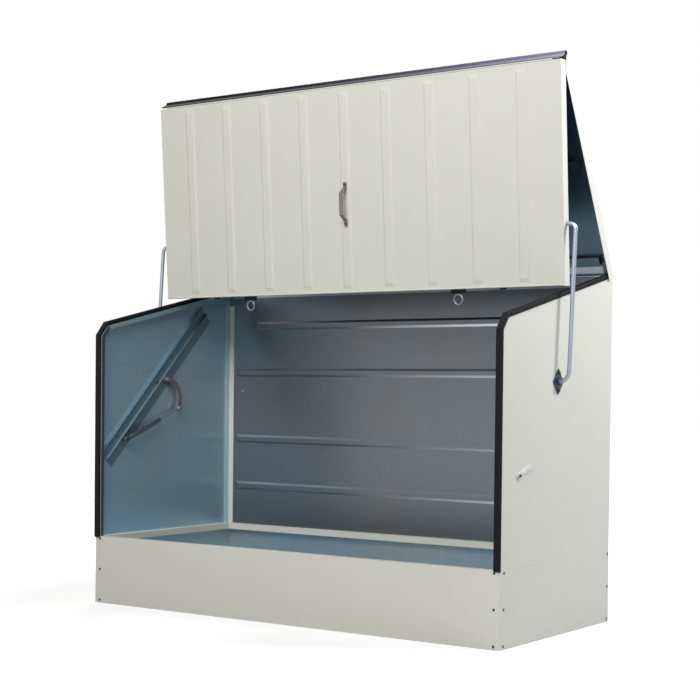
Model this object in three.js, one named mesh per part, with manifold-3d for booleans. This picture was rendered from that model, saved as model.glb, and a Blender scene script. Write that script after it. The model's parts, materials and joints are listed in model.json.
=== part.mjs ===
// A steel bicycle locker, drawn open: a low box whose door lifts out on two bent arms
// while the roof, hinged along the rear wall, folds up behind it.
// Millimetres. X runs along the front, Y from the front to the rear, Z up.
// The origin is the middle of the footprint, on the ground.

import * as THREE from "three";
import { ConvexGeometry } from "three/addons/geometries/ConvexGeometry.js";
import { mergeVertices } from "three/addons/utils/BufferGeometryUtils.js";
import Module from "manifold-3d";

const wasm = await Module();
wasm.setup();

// Driving dimensions of the box

const WIDTH = 1960;
const DEPTH = 880;
const FRONT_HEIGHT = 1130;
const REAR_HEIGHT = 1371;
const CHAMFER_DEPTH = 36;
const CHAMFER_RISE = 44;
const BASE_HEIGHT = 282;
const SHEET = 1.5;
const GAP = 0.3;
const OVERRUN = 1;

const HALF_WIDTH = WIDTH / 2;
const HALF_DEPTH = DEPTH / 2;
const WALL_INSIDE = HALF_WIDTH - SHEET;

// Floor and base

const FLOOR_SHEET = 2;
const ANCHOR_RADIUS = 6;
const ANCHOR_INSET = 90;
const LEDGE = 30;
const LEDGE_LIP = 26;

// Folded edges and posts of the walls

const RETURN_WIDTH = 25;
const RETURN_LIP = 18;
const RAIL_SETBACK = 14;
const POST_LEG = 28;
const POST_BELOW_TOP = 71;
const REAR_RAIL_DEPTH = 30;
const REAR_RAIL_DROP = 35;
const REAR_RAIL_LIP = 16;
const BEAD_RADIUS = 5;
const BEAD_NECK = 4;

// Rubber seal on the front and top edges of the side walls

const SEAL_WIDTH = 17;
const SEAL_INSET = 1;
const SEAL_FRONT = 10;
const SEAL_CHAMFER = 4;
const SEAL_TOP = 10;
const SEAL_FOOT = 16;
const SEAL_TIP = 7;

// Pressed ribs

const RIB_RISE = 4;
const RIB_RUNOUT = 20;
const DOOR_RIB_WIDTH = 52;
const DOOR_RIB_CROWN = 32;
const DOOR_RIB_INSET = 167.5;
const DOOR_RIB_COUNT = 9;
const DOOR_RIB_MARGIN = 14;
const REAR_RIB_WIDTH = 42;
const REAR_RIB_CROWN = 18;
const TOP_RIB_INSET = 161;
const LOW_RIB_INSET = 42;
const RIB_BELOW_TOP = 166;
const RIB_ABOVE_LAP = 173;
const RIB_BELOW_LAP = 136;
const RIB_ABOVE_BASE = 179;

// The rear wall is two sheets, and the upper one laps over the lower

const LAP_SHARE = 0.49;
const LAP_TALL = 30;
const LAP_CLEARANCE = 2;

// Lid, which is the door and the roof together

const LID_OVERHANG = 7.5;
const EDGE_LEG = 6;
const DOOR_CLEARANCE = 8;
const DOOR_LEAN = THREE.MathUtils.degToRad(4.1);
const DOOR_STANDOFF = 4;
const DOOR_RETURN = 40;
const CHANNEL_TALL = 25;
const CHANNEL_DEEP = 20;
const CHANNEL_INSET = 36;
const HINGE_ROD_RADIUS = 3.2;
const HINGE_SETBACK = 22;
const HINGE_LIFT = 6;
const PIVOT_PROUD = 8.9;
const ROOF_OPEN = THREE.MathUtils.degToRad(61.9);
const ROOF_REAR = 11;
const ROOF_UNDERSIDE = 12;
const ROOF_RETURN = 38;
const ROOF_CORNER_CUT = 60;
const LIP_DROP = 54;
const LIP_SETBACK = 2;
const LEAF_DEPTH = 48;
const LEAF_THICK = 2;
const STIFFENER_DEPTH = 22;
const STIFFENER_WIDTH = 50;
const STIFFENER_TOP_WIDTH = 30;
const REAR_STIFFENER_AT = 66;
const FRONT_STIFFENER_AT = 470;
const STRIP_THICK = 4;
const STRIP_END_RADIUS = 7;

// Handle, lock loops and buffers on the door

const HANDLE_X = 2;
const HANDLE_TOP_SCREW = 400;
const HANDLE_LOW_SCREW = 559;
const HANDLE_GRIP_TOP = 433;
const HANDLE_GRIP_LOW = 523;
const HANDLE_FOOT = 9;
const HANDLE_STANDOFF = 34;
const HANDLE_THICK = 6;
const HANDLE_WIDTH = 16;
const HANDLE_SCREW_RADIUS = 5;
const HANDLE_SCREW_HEAD = 3;
const LOOP_INSET = 460;
const LOOP_WIDTH = 46;
const LOOP_HEIGHT = 48;
const LOOP_BAR = 7;
const LOOP_THICK = 6;
const LOOP_FRONT = -1;
const PAD_WIDTH = 64;
const PAD_HEIGHT = 16;
const PAD_DEPTH = 8;
const BUFFER_INSET = 265;
const BUFFER_RADIUS = 13;
const BUFFER_CLEARANCE = 0.6;

// Arms, which are bent rods, and their spring assist on the inside of each wall

const ARM_RADIUS = 8;
const ARM_OUT = 45;
const ARM_LOW_BEND = 36;
const ARM_TOP_BEND = 24;
const CRANK_SETBACK = 21.5;
const ARM_TIP_OUT = 2;
const ARM_STEPS = 76;
const BEND_STEPS = 8;
const ROUND_SIDES = 16;
const PIN_DOWN = 610;
const PIN_BEHIND_FACE = 25;
const AXLE_Y = -20;
const RUNNING = 0.4;
const BRACKET_TALL = 96;
const BRACKET_WIDE = 80;
const BRACKET_THICK = 4;
const BUSH_RADIUS = 13;
const KEEPER_INSET = 123;
const KEEPER_BELOW_AXLE = 339.36;
const KEEPER_LENGTH = 107;
const KEEPER_ANGLE = THREE.MathUtils.degToRad(18.6);
const KEEPER_WIDTH = 16;
const KEEPER_THICK = 5;
const KEEPER_BOLT_RADIUS = 9;
const KEEPER_BOLT_HEAD = 7;
const BRACE_FRONT_INSET = 63.5;
const BRACE_REAR_INSET = 171.3;
const BRACE_CLEARANCE = 1;
const BRACE_ANGLE = THREE.MathUtils.degToRad(45.1);
const BRACE_WIDTH = 46;
const BRACE_RISE = 12;
const BRACE_SHEET = 2;
const BRACE_FLANGE = 32;
const CRANK_LENGTH = 150;
const CRANK_ANGLE = THREE.MathUtils.degToRad(-60);
const CRANK_WIDTH = 22;
const CRANK_BOW = 40;
const CRANK_BOSS_RADIUS = 13;
const CRANK_THICK = 6;
const ANCHOR_STUD_RADIUS = 6;
const ANCHOR_SHOULDER_RADIUS = 9.5;
const ANCHOR_AHEAD_OF_AXLE = 266;
const ANCHOR_BELOW_AXLE = 262.36;
const SPRING_TUBE_RADIUS = 11;
const SPRING_TUBE_LENGTH = 216;
const NECK_HALF = 7;
const SPRING_ROD_RADIUS = 5;
const SPRING_ROD_START = 57;
const SPRING_CLEARANCE = 1;
const EYE_RADIUS = 11;
const EYE_THICK = 11;
const FEED_LENGTH = 14;

// Places worked out from the sizes

const HALF_LID = HALF_WIDTH + LID_OVERHANG;
const LOOP_X = HALF_WIDTH - LOOP_INSET;
const BUFFER_X = HALF_WIDTH - BUFFER_INSET;
const POST_TOP = REAR_HEIGHT - POST_BELOW_TOP;
const LAP_Z = BASE_HEIGHT + LAP_SHARE * (REAR_HEIGHT - BASE_HEIGHT);
const DOOR_RIB_PITCH = (2 * (HALF_LID - DOOR_RIB_INSET)) / (DOOR_RIB_COUNT - 1);
const HINGE_Y = HALF_DEPTH - HINGE_SETBACK;
const HINGE_Z = REAR_HEIGHT + HINGE_LIFT;
const DOOR_CLOSED_LEAN = 0;
const ROOF_SLOPE = Math.atan2(REAR_HEIGHT - FRONT_HEIGHT - CHAMFER_RISE, DEPTH - CHAMFER_DEPTH);
const PIVOT_DROP = LIP_DROP - ROOF_UNDERSIDE;
const CRANK_FACE = WALL_INSIDE - CRANK_SETBACK;
const CRANK_BACK = CRANK_FACE + CRANK_THICK;
const EYE_BACK = CRANK_FACE - GAP;
const EYE_FACE = EYE_BACK - EYE_THICK;

// The roof is as long as it takes to bring the closed door's hinge just in front of the box.
const CLOSED_RUN = HINGE_Y + HALF_DEPTH + PIVOT_PROUD + PIVOT_DROP * Math.sin(ROOF_SLOPE);
const PIVOT_FORWARD = CLOSED_RUN / Math.cos(ROOF_SLOPE);
const ROOF_LENGTH = PIVOT_FORWARD + LIP_SETBACK;
const LIP_BOTTOM = HINGE_ROD_RADIUS + GAP - PIVOT_DROP;
const LEFT_AND_RIGHT = [["left", -1], ["right", 1]];

function turned(y, z, angle) {
  return [y * Math.cos(angle) - z * Math.sin(angle), y * Math.sin(angle) + z * Math.cos(angle)];
}

function doorPivot(roofAngle) {
  const [y, z] = turned(-PIVOT_FORWARD, -PIVOT_DROP, roofAngle);
  return [HINGE_Y + y, HINGE_Z + z];
}

function armPin(roofAngle, lean) {
  const [pivotY, pivotZ] = doorPivot(roofAngle);
  const [y, z] = turned(PIN_BEHIND_FACE - DOOR_STANDOFF, -PIN_DOWN, lean);
  return [pivotY + y, pivotZ + z];
}

const PIVOT_OPEN = doorPivot(-ROOF_OPEN);
const PIVOT_CLOSED = doorPivot(ROOF_SLOPE);
const PIN_OPEN = armPin(-ROOF_OPEN, DOOR_LEAN);
const PIN_CLOSED = armPin(ROOF_SLOPE, DOOR_CLOSED_LEAN);

// The axle lies where it is as far from the open pin as from the closed one.
const PIN_RUN_Y = PIN_OPEN[0] - PIN_CLOSED[0];
const PIN_RUN_Z = PIN_OPEN[1] - PIN_CLOSED[1];
const PIN_MID_Y = (PIN_OPEN[0] + PIN_CLOSED[0]) / 2;
const PIN_MID_Z = (PIN_OPEN[1] + PIN_CLOSED[1]) / 2;
const AXLE_Z = PIN_MID_Z - (PIN_RUN_Y * (AXLE_Y - PIN_MID_Y)) / PIN_RUN_Z;
const ARM_LENGTH = Math.hypot(PIN_OPEN[0] - AXLE_Y, PIN_OPEN[1] - AXLE_Z);
const ARM_LEAN = Math.atan2(AXLE_Y - PIN_OPEN[0], PIN_OPEN[1] - AXLE_Z);
const KEEPER_Y = KEEPER_INSET - HALF_DEPTH;
const KEEPER_Z = AXLE_Z - KEEPER_BELOW_AXLE;
const ANCHOR_Y = AXLE_Y - ANCHOR_AHEAD_OF_AXLE;
const ANCHOR_Z = AXLE_Z - ANCHOR_BELOW_AXLE;
const BRACE_BELOW_AXLE = (HALF_DEPTH + AXLE_Y - BRACE_FRONT_INSET) / Math.cos(BRACE_ANGLE);
const BRACE_ABOVE_AXLE = (HALF_DEPTH - AXLE_Y - BRACE_REAR_INSET) / Math.cos(BRACE_ANGLE);
const CRANK_END_Y = AXLE_Y + CRANK_LENGTH * Math.cos(CRANK_ANGLE);
const CRANK_END_Z = AXLE_Z + CRANK_LENGTH * Math.sin(CRANK_ANGLE);
const SPRING_ANGLE = Math.atan2(CRANK_END_Z - ANCHOR_Z, CRANK_END_Y - ANCHOR_Y);
const SPRING_LENGTH = Math.hypot(CRANK_END_Y - ANCHOR_Y, CRANK_END_Z - ANCHOR_Z);

// Materials

function material(color, roughness, metalness) {
  return () => new THREE.MeshStandardMaterial({ color, roughness, metalness });
}

const creamPaint = material(0xd3d2c6, 0.5, 0);
const galvanised = material(0x8b9aa0, 0.42, 0.85);
const zincPlate = material(0xc3c6c8, 0.3, 0.9);
const darkSteel = material(0x4a4f55, 0.45, 0.7);
const blackRubber = material(0x17181a, 0.6, 0);
const glossRubber = material(0x0f1014, 0.2, 0);
const handleSteel = material(0x8a7f72, 0.4, 0.7);

// Solid shapes and how they are cut and joined

function sorted(a, b) {
  return a < b ? [a, b] : [b, a];
}

function block(xs, ys, zs) {
  const [x0, x1] = sorted(...xs);
  const [y0, y1] = sorted(...ys);
  const [z0, z1] = sorted(...zs);
  const shape = new THREE.BoxGeometry(x1 - x0, y1 - y0, z1 - z0);
  return shape.translate((x0 + x1) / 2, (y0 + y1) / 2, (z0 + z1) / 2);
}

const X_AXIS = new THREE.Vector3(1, 0, 0);
const Y_AXIS = new THREE.Vector3(0, 1, 0);
const Z_AXIS = new THREE.Vector3(0, 0, 1);

function outlineOf(points) {
  return new THREE.Shape(points.map(([a, b]) => new THREE.Vector2(a, b)));
}

// An outline in Y and Z, drawn out along X.
function alongX(outline, ends) {
  const [from, to] = sorted(...ends);
  const shape = new THREE.ExtrudeGeometry(outline, { depth: to - from, bevelEnabled: false });
  return shape.translate(0, 0, from).applyMatrix4(new THREE.Matrix4().makeBasis(Y_AXIS, Z_AXIS, X_AXIS));
}

// An outline in X and Z, drawn out along Y.
function alongY(outline, ends) {
  const [from, to] = sorted(...ends);
  const shape = new THREE.ExtrudeGeometry(outline, { depth: to - from, bevelEnabled: false });
  const backwards = Y_AXIS.clone().negate();
  return shape.translate(0, 0, -to).applyMatrix4(new THREE.Matrix4().makeBasis(X_AXIS, Z_AXIS, backwards));
}

function alongZ(outline, ends) {
  const [from, to] = sorted(...ends);
  const shape = new THREE.ExtrudeGeometry(outline, { depth: to - from, bevelEnabled: false });
  return shape.translate(0, 0, from);
}

function roundAlongX(radius, ends, y = 0, z = 0) {
  const [from, to] = sorted(...ends);
  const shape = new THREE.CylinderGeometry(radius, radius, to - from, ROUND_SIDES);
  return shape.rotateZ(Math.PI / 2).translate((from + to) / 2, y, z);
}

function roundAlongY(radius, ends, x, z) {
  const [from, to] = sorted(...ends);
  const shape = new THREE.CylinderGeometry(radius, radius, to - from, ROUND_SIDES);
  return shape.translate(x, (from + to) / 2, z);
}

function roundAlongZ(radius, ends, x, y) {
  const [from, to] = sorted(...ends);
  const shape = new THREE.CylinderGeometry(radius, radius, to - from, ROUND_SIDES);
  return shape.rotateX(Math.PI / 2).translate(x, y, (from + to) / 2);
}

function solidOf(geometry) {
  const plain = geometry.clone();
  plain.deleteAttribute("normal");
  plain.deleteAttribute("uv");
  const merged = mergeVertices(plain);
  const triVerts = new Uint32Array(merged.index.array);
  const vertProperties = new Float32Array(merged.attributes.position.array);
  return new wasm.Manifold(new wasm.Mesh({ numProp: 3, vertProperties, triVerts }));
}

function geometryOf(solid) {
  const mesh = solid.getMesh();
  const geometry = new THREE.BufferGeometry();
  geometry.setAttribute("position", new THREE.BufferAttribute(new Float32Array(mesh.vertProperties), 3));
  geometry.setIndex(new THREE.BufferAttribute(new Uint32Array(mesh.triVerts), 1));
  const faceted = geometry.toNonIndexed();
  faceted.computeVertexNormals();
  return faceted;
}

function joined(...shapes) {
  return geometryOf(shapes.map(solidOf).reduce((whole, piece) => whole.add(piece)));
}

function cut(shape, ...tools) {
  return geometryOf(tools.map(solidOf).reduce((rest, tool) => rest.subtract(tool), solidOf(shape)));
}

// The path moved sideways, each stretch by its own distance, outwards being positive.
function offsetPath(path, distances) {
  const lines = distances.map((distance, i) => {
    const [ay, az] = path[i];
    const [by, bz] = path[i + 1];
    const length = Math.hypot(by - ay, bz - az);
    const across = [-(bz - az) / length, (by - ay) / length];
    return { across, reach: across[0] * ay + across[1] * az + distance, distance };
  });
  const moved = path.map((point, i) => {
    const before = lines[Math.max(i - 1, 0)];
    const after = lines[Math.min(i, lines.length - 1)];
    const turn = before.across[0] * after.across[1] - before.across[1] * after.across[0];
    if (before === after || turn === 0) {
      return [point[0] + after.across[0] * after.distance, point[1] + after.across[1] * after.distance];
    }
    return [
      (before.reach * after.across[1] - after.reach * before.across[1]) / turn,
      (after.reach * before.across[0] - before.reach * after.across[0]) / turn,
    ];
  });
  return moved;
}

function bandAlong(path, outerDistances, innerDistances) {
  return outlineOf([...offsetPath(path, outerDistances), ...offsetPath(path, innerDistances).reverse()]);
}

// A shallow pressed rib: its foot is a rectangle, and its crown a smaller one at another depth.
function ribShape(xs, zs, footY, crownY, slopeX, slopeZ) {
  const [x0, x1] = xs;
  const [z0, z1] = zs;
  const corners = [];
  for (const [y, inX, inZ] of [[footY, 0, 0], [crownY, slopeX, slopeZ]]) {
    for (const x of [x0 + inX, x1 - inX]) {
      for (const z of [z0 + inZ, z1 - inZ]) {
        corners.push(new THREE.Vector3(x, y, z));
      }
    }
  }
  return new ConvexGeometry(corners);
}

// A flat sheet between two depths, with each rib raised on the far side and hollow on the near one.
function ribbedSheet(sheet, nearY, farY, ribs) {
  const away = Math.sign(farY - nearY);
  let solid = solidOf(sheet);
  for (const { xs, zs, slopeX, slopeZ } of ribs) {
    const raised = ribShape(xs, zs, farY - (away * SHEET) / 2, farY + away * RIB_RISE, slopeX, slopeZ);
    solid = solid.add(solidOf(raised));
  }
  for (const { xs, zs, slopeX, slopeZ } of ribs) {
    const innerXs = [xs[0] + SHEET, xs[1] - SHEET];
    const innerZs = [zs[0] + SHEET, zs[1] - SHEET];
    const [open, deep] = [nearY - away * OVERRUN, nearY + away * RIB_RISE];
    const hollow = ribShape(innerXs, innerZs, open, deep, slopeX, slopeZ);
    solid = solid.subtract(solidOf(hollow));
  }
  return geometryOf(solid);
}

function piece(name, geometry, paint) {
  const mesh = new THREE.Mesh(geometry, paint());
  mesh.name = name;
  return mesh;
}

// Floor and base

function floorTray() {
  const halfX = WALL_INSIDE - GAP;
  const halfY = HALF_DEPTH - SHEET - GAP;
  const sheet = block([-halfX, halfX], [-halfY, halfY], [0, FLOOR_SHEET]);
  const holes = [];
  for (const x of [ANCHOR_INSET - HALF_WIDTH, HALF_WIDTH - ANCHOR_INSET]) {
    for (const y of [ANCHOR_INSET - HALF_DEPTH, HALF_DEPTH - ANCHOR_INSET]) {
      holes.push(roundAlongZ(ANCHOR_RADIUS, [-OVERRUN, FLOOR_SHEET + OVERRUN], x, y));
    }
  }
  return piece("floor_tray", cut(sheet, ...holes), galvanised);
}

function basePanelAcross(name, sign) {
  const face = sign * HALF_DEPTH;
  const inside = face - sign * SHEET;
  const edge = face - sign * LEDGE;
  const web = block([-HALF_WIDTH, HALF_WIDTH], [face, inside], [0, BASE_HEIGHT]);
  const span = [LEDGE + GAP - HALF_WIDTH, HALF_WIDTH - LEDGE - GAP];
  const ledge = block(span, [face, edge], [BASE_HEIGHT - SHEET, BASE_HEIGHT]);
  const lip = block(span, [edge, edge + sign * SHEET], [BASE_HEIGHT - LEDGE_LIP, BASE_HEIGHT]);
  return piece(name, joined(web, ledge, lip), creamPaint);
}

function basePanelBeside(name, sign) {
  const face = sign * HALF_WIDTH;
  const inside = face - sign * SHEET;
  const edge = face - sign * LEDGE;
  const half = HALF_DEPTH - SHEET - GAP;
  const web = block([face, inside], [-half, half], [0, BASE_HEIGHT]);
  const ledge = block([face, edge], [-half, half], [BASE_HEIGHT - SHEET, BASE_HEIGHT]);
  const shorter = HALF_DEPTH - LEDGE - GAP;
  const tall = [BASE_HEIGHT - LEDGE_LIP, BASE_HEIGHT];
  const lip = block([edge, edge + sign * SHEET], [-shorter, shorter], tall);
  return piece(name, joined(web, ledge, lip), creamPaint);
}

// Walls, their folded edges and their corner posts

const WALL_FOOT = BASE_HEIGHT + GAP;
const SHOULDER = [CHAMFER_DEPTH - HALF_DEPTH, FRONT_HEIGHT + CHAMFER_RISE];
const REAR_EDGE = HALF_DEPTH - SHEET - GAP;
const REAR_EDGE_TOP = REAR_HEIGHT - (HALF_DEPTH - REAR_EDGE) * Math.tan(ROOF_SLOPE);

function sideWall(side, sign) {
  const outline = outlineOf([
    [-HALF_DEPTH, WALL_FOOT],
    [REAR_EDGE, WALL_FOOT],
    [REAR_EDGE, REAR_EDGE_TOP],
    SHOULDER,
    [-HALF_DEPTH, FRONT_HEIGHT],
  ]);
  const sheet = alongX(outline, [sign * HALF_WIDTH, sign * WALL_INSIDE]);
  const reach = [sign * (WALL_INSIDE - OVERRUN), sign * (HALF_WIDTH + OVERRUN)];
  const hole = roundAlongX(ARM_RADIUS + RUNNING, reach, AXLE_Y, AXLE_Z);
  return piece(side + "_wall", cut(sheet, hole), creamPaint);
}

function rearWall() {
  const inner = HALF_DEPTH - SHEET;
  const sheet = block([-HALF_WIDTH, HALF_WIDTH], [inner, HALF_DEPTH], [WALL_FOOT, REAR_HEIGHT]);
  const lapEnd = WALL_INSIDE - POST_LEG - LAP_CLEARANCE;
  const lap = block([-lapEnd, lapEnd], [inner, inner - SHEET], [LAP_Z, LAP_Z + LAP_TALL]);
  const slopeZ = (REAR_RIB_WIDTH - REAR_RIB_CROWN) / 2;
  const ribs = [
    [REAR_HEIGHT - RIB_BELOW_TOP, TOP_RIB_INSET],
    [LAP_Z + RIB_ABOVE_LAP, LOW_RIB_INSET],
    [LAP_Z - RIB_BELOW_LAP, LOW_RIB_INSET],
    [BASE_HEIGHT + RIB_ABOVE_BASE, LOW_RIB_INSET],
  ].map(([middle, inset]) => ({
    xs: [inset - HALF_WIDTH, HALF_WIDTH - inset],
    zs: [middle - REAR_RIB_WIDTH / 2, middle + REAR_RIB_WIDTH / 2],
    slopeX: RIB_RUNOUT,
    slopeZ,
  }));
  return piece("rear_wall", ribbedSheet(joined(sheet, lap), HALF_DEPTH, inner, ribs), creamPaint);
}

// A strip folded in from the wall's edge, with a lip turned down it.
function foldedEdge(name, sign, path) {
  const root = sign * (WALL_INSIDE - GAP);
  const tip = sign * (WALL_INSIDE - RETURN_WIDTH);
  const stretches = path.slice(1);
  const edge = stretches.map(() => 0);
  const strip = alongX(bandAlong(path, edge, stretches.map(() => -SHEET)), [root, tip]);
  const lip = alongX(bandAlong(path, edge, stretches.map(() => -RETURN_LIP)), [tip, tip + sign * SHEET]);
  return piece(name, joined(strip, lip), galvanised);
}

function frontPost(side, sign) {
  return foldedEdge(side + "_front_post", sign, [
    [-HALF_DEPTH, WALL_FOOT],
    [-HALF_DEPTH, FRONT_HEIGHT],
    SHOULDER,
  ]);
}

function topRail(side, sign) {
  const rearEnd = REAR_EDGE - REAR_RAIL_DEPTH - GAP;
  return foldedEdge(side + "_top_rail", sign, [
    [SHOULDER[0] + RAIL_SETBACK, SHOULDER[1] + RAIL_SETBACK * Math.tan(ROOF_SLOPE)],
    [rearEnd, REAR_HEIGHT - (HALF_DEPTH - rearEnd) * Math.tan(ROOF_SLOPE)],
  ]);
}

function rearPost(side, sign) {
  const wall = WALL_INSIDE - GAP;
  const back = HALF_DEPTH - SHEET - GAP;
  const corner = [sign * wall, back];
  const outline = outlineOf([
    corner,
    [sign * wall, back - POST_LEG],
    [sign * (wall - SHEET), back - POST_LEG],
    [sign * (wall - SHEET), back - SHEET],
    [sign * (wall - POST_LEG), back - SHEET],
    [sign * (wall - POST_LEG), back],
  ]);
  return piece(side + "_rear_post", alongZ(outline, [WALL_FOOT, POST_TOP]), galvanised);
}

function rearHingeRail() {
  const back = HALF_DEPTH - SHEET - GAP;
  const front = back - REAR_RAIL_DEPTH;
  const top = REAR_HEIGHT;
  const outline = outlineOf([
    [back, top],
    [front, top],
    [front, top - REAR_RAIL_LIP],
    [front + SHEET, top - REAR_RAIL_LIP],
    [front + SHEET, top - SHEET],
    [back - SHEET, top - SHEET],
    [back - SHEET, top - REAR_RAIL_DROP],
    [back, top - REAR_RAIL_DROP],
  ]);
  const half = WALL_INSIDE - RETURN_WIDTH - GAP;
  const ends = [-half, half];
  const neck = block(ends, [HINGE_Y - BEAD_NECK / 2, HINGE_Y + BEAD_NECK / 2], [top - SHEET, HINGE_Z]);
  const bead = roundAlongX(BEAD_RADIUS, ends, HINGE_Y, HINGE_Z);
  return piece("rear_hinge_rail", joined(alongX(outline, ends), neck, bead), galvanised);
}

function edgeSeal(side, sign) {
  const foot = BASE_HEIGHT + SEAL_FOOT;
  const path = [
    [-HALF_DEPTH, foot],
    [-HALF_DEPTH, FRONT_HEIGHT],
    SHOULDER,
    [HINGE_Y, REAR_HEIGHT - HINGE_SETBACK * Math.tan(ROOF_SLOPE)],
  ];
  const outer = offsetPath(path, [SEAL_FRONT, SEAL_CHAMFER, SEAL_TOP]);
  const inner = offsetPath(path, [GAP, GAP, GAP]);
  outer[0][1] += SEAL_TIP;
  const outline = outlineOf([...outer, ...inner.reverse()]);
  const outside = sign * (HALF_WIDTH - SEAL_INSET);
  return piece(side + "_seal", alongX(outline, [outside, outside - sign * SEAL_WIDTH]), blackRubber);
}

// The slanting brace inside each side wall, which carries the axle and the spring's stud.

function brace(side, sign) {
  const low = BUSH_RADIUS + BRACE_CLEARANCE;
  const high = low + BRACE_WIDTH;
  const out = WALL_INSIDE - GAP;
  const crown = out - BRACE_RISE;
  const folded = outlineOf([
    [out, -BRACE_FLANGE],
    [out, low + BRACE_SHEET],
    [crown + BRACE_SHEET, low + BRACE_SHEET],
    [crown + BRACE_SHEET, high - BRACE_SHEET],
    [out, high - BRACE_SHEET],
    [out, high],
    [crown, high],
    [crown, low],
    [out - BRACE_SHEET, low],
    [out - BRACE_SHEET, -BRACE_FLANGE],
  ]);
  const bar = alongY(folded, [-BRACE_BELOW_AXLE, BRACE_ABOVE_AXLE]);
  bar.rotateX(BRACE_ANGLE).translate(0, AXLE_Y, AXLE_Z);
  const hole = roundAlongX(ARM_RADIUS + RUNNING, [crown - OVERRUN, out + OVERRUN], AXLE_Y, AXLE_Z);
  const made = cut(bar, hole);
  if (sign < 0) {
    made.scale(sign, 1, 1);
  }
  return piece(side + "_brace", facingOut(made), galvanised);
}

// Turns a shape's faces round again where a mirroring step has left them facing in.
function facingOut(shape) {
  const mesh = shape.index ? shape.toNonIndexed() : shape;
  const at = mesh.attributes.position;
  const [a, b, c] = [new THREE.Vector3(), new THREE.Vector3(), new THREE.Vector3()];
  let volume = 0;
  for (let i = 0; i < at.count; i += 3) {
    a.fromBufferAttribute(at, i);
    b.fromBufferAttribute(at, i + 1);
    c.fromBufferAttribute(at, i + 2);
    volume += a.dot(b.cross(c));
  }
  if (volume > 0) {
    return mesh;
  }
  for (let i = 0; i < at.count; i += 3) {
    b.fromBufferAttribute(at, i + 1);
    c.fromBufferAttribute(at, i + 2);
    at.setXYZ(i + 1, c.x, c.y, c.z);
    at.setXYZ(i + 2, b.x, b.y, b.z);
  }
  return mesh;
}

// The brace's flange lies on the wall, and what it carries stands on the flange.
const FLANGE_FACE = WALL_INSIDE - GAP - BRACE_SHEET - GAP;

function axleBush(side, sign) {
  const ends = [sign * FLANGE_FACE, sign * (CRANK_BACK + GAP)];
  const bush = roundAlongX(BUSH_RADIUS, ends, AXLE_Y, AXLE_Z);
  const reach = [sign * (FLANGE_FACE + OVERRUN), sign * (CRANK_BACK - OVERRUN)];
  const bore = roundAlongX(ARM_RADIUS + RUNNING, reach, AXLE_Y, AXLE_Z);
  return piece(side + "_axle_bush", cut(bush, bore), zincPlate);
}

function springAnchor(side, sign) {
  const seat = [sign * FLANGE_FACE, sign * (EYE_BACK + GAP)];
  const shoulder = roundAlongX(ANCHOR_SHOULDER_RADIUS, seat, ANCHOR_Y, ANCHOR_Z);
  const reach = [sign * FLANGE_FACE, sign * (EYE_FACE - GAP)];
  const stud = roundAlongX(ANCHOR_STUD_RADIUS, reach, ANCHOR_Y, ANCHOR_Z);
  return piece(side + "_spring_anchor", joined(shoulder, stud), darkSteel);
}

function armBracket(side, sign) {
  const outline = outlineOf([
    [AXLE_Y, AXLE_Z + BRACKET_TALL / 2],
    [AXLE_Y - BRACKET_WIDE / 2, AXLE_Z],
    [AXLE_Y, AXLE_Z - BRACKET_TALL / 2],
    [AXLE_Y + BRACKET_WIDE / 2, AXLE_Z],
  ]);
  const near = HALF_WIDTH + GAP;
  const plate = alongX(outline, [sign * near, sign * (near + BRACKET_THICK)]);
  const reach = [sign * (near - OVERRUN), sign * (near + BRACKET_THICK + OVERRUN)];
  const hole = roundAlongX(ARM_RADIUS + RUNNING, reach, AXLE_Y, AXLE_Z);
  return piece(side + "_arm_bracket", cut(plate, hole), darkSteel);
}

function armKeeper(side, sign) {
  const near = HALF_WIDTH + GAP;
  const outline = new THREE.Shape();
  const half = KEEPER_WIDTH / 2;
  outline.absarc(0, 0, half, Math.PI / 2, (3 * Math.PI) / 2, false);
  outline.absarc(KEEPER_LENGTH - half, 0, half, -Math.PI / 2, Math.PI / 2, false);
  const strap = alongX(outline, [0, KEEPER_THICK]);
  strap.rotateX(KEEPER_ANGLE);
  strap.translate(sign > 0 ? near : -near - KEEPER_THICK, KEEPER_Y, KEEPER_Z);
  const ends = [sign * near, sign * (near + KEEPER_BOLT_HEAD)];
  const bolt = roundAlongX(KEEPER_BOLT_RADIUS, ends, KEEPER_Y, KEEPER_Z);
  return piece(side + "_arm_keeper", joined(strap, bolt), zincPlate);
}

// Door, in its own frame: the top hinge axis is the origin, and the door hangs below it.

const DOOR_FACE = -DOOR_STANDOFF;
const DOOR_BACK = DOOR_FACE + SHEET;
const DOOR_TOP = -HINGE_ROD_RADIUS - GAP;
const DOOR_FOOT = BASE_HEIGHT + DOOR_CLEARANCE - PIVOT_CLOSED[1];
const PIN_Y = PIN_BEHIND_FACE - DOOR_STANDOFF;

function doorPanel() {
  const sheet = block([-HALF_LID, HALF_LID], [DOOR_FACE, DOOR_BACK], [DOOR_FOOT, DOOR_TOP]);
  const middle = (DOOR_RIB_COUNT - 1) / 2;
  const zs = [DOOR_FOOT + DOOR_RIB_MARGIN, DOOR_TOP - DOOR_RIB_MARGIN];
  const ribs = Array.from({ length: DOOR_RIB_COUNT }, (_, i) => {
    const x = (i - middle) * DOOR_RIB_PITCH;
    const xs = [x - DOOR_RIB_WIDTH / 2, x + DOOR_RIB_WIDTH / 2];
    return { xs, zs, slopeX: (DOOR_RIB_WIDTH - DOOR_RIB_CROWN) / 2, slopeZ: RIB_RUNOUT };
  });
  return piece("door_panel", ribbedSheet(sheet, DOOR_BACK, DOOR_FACE, ribs), creamPaint);
}

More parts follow.
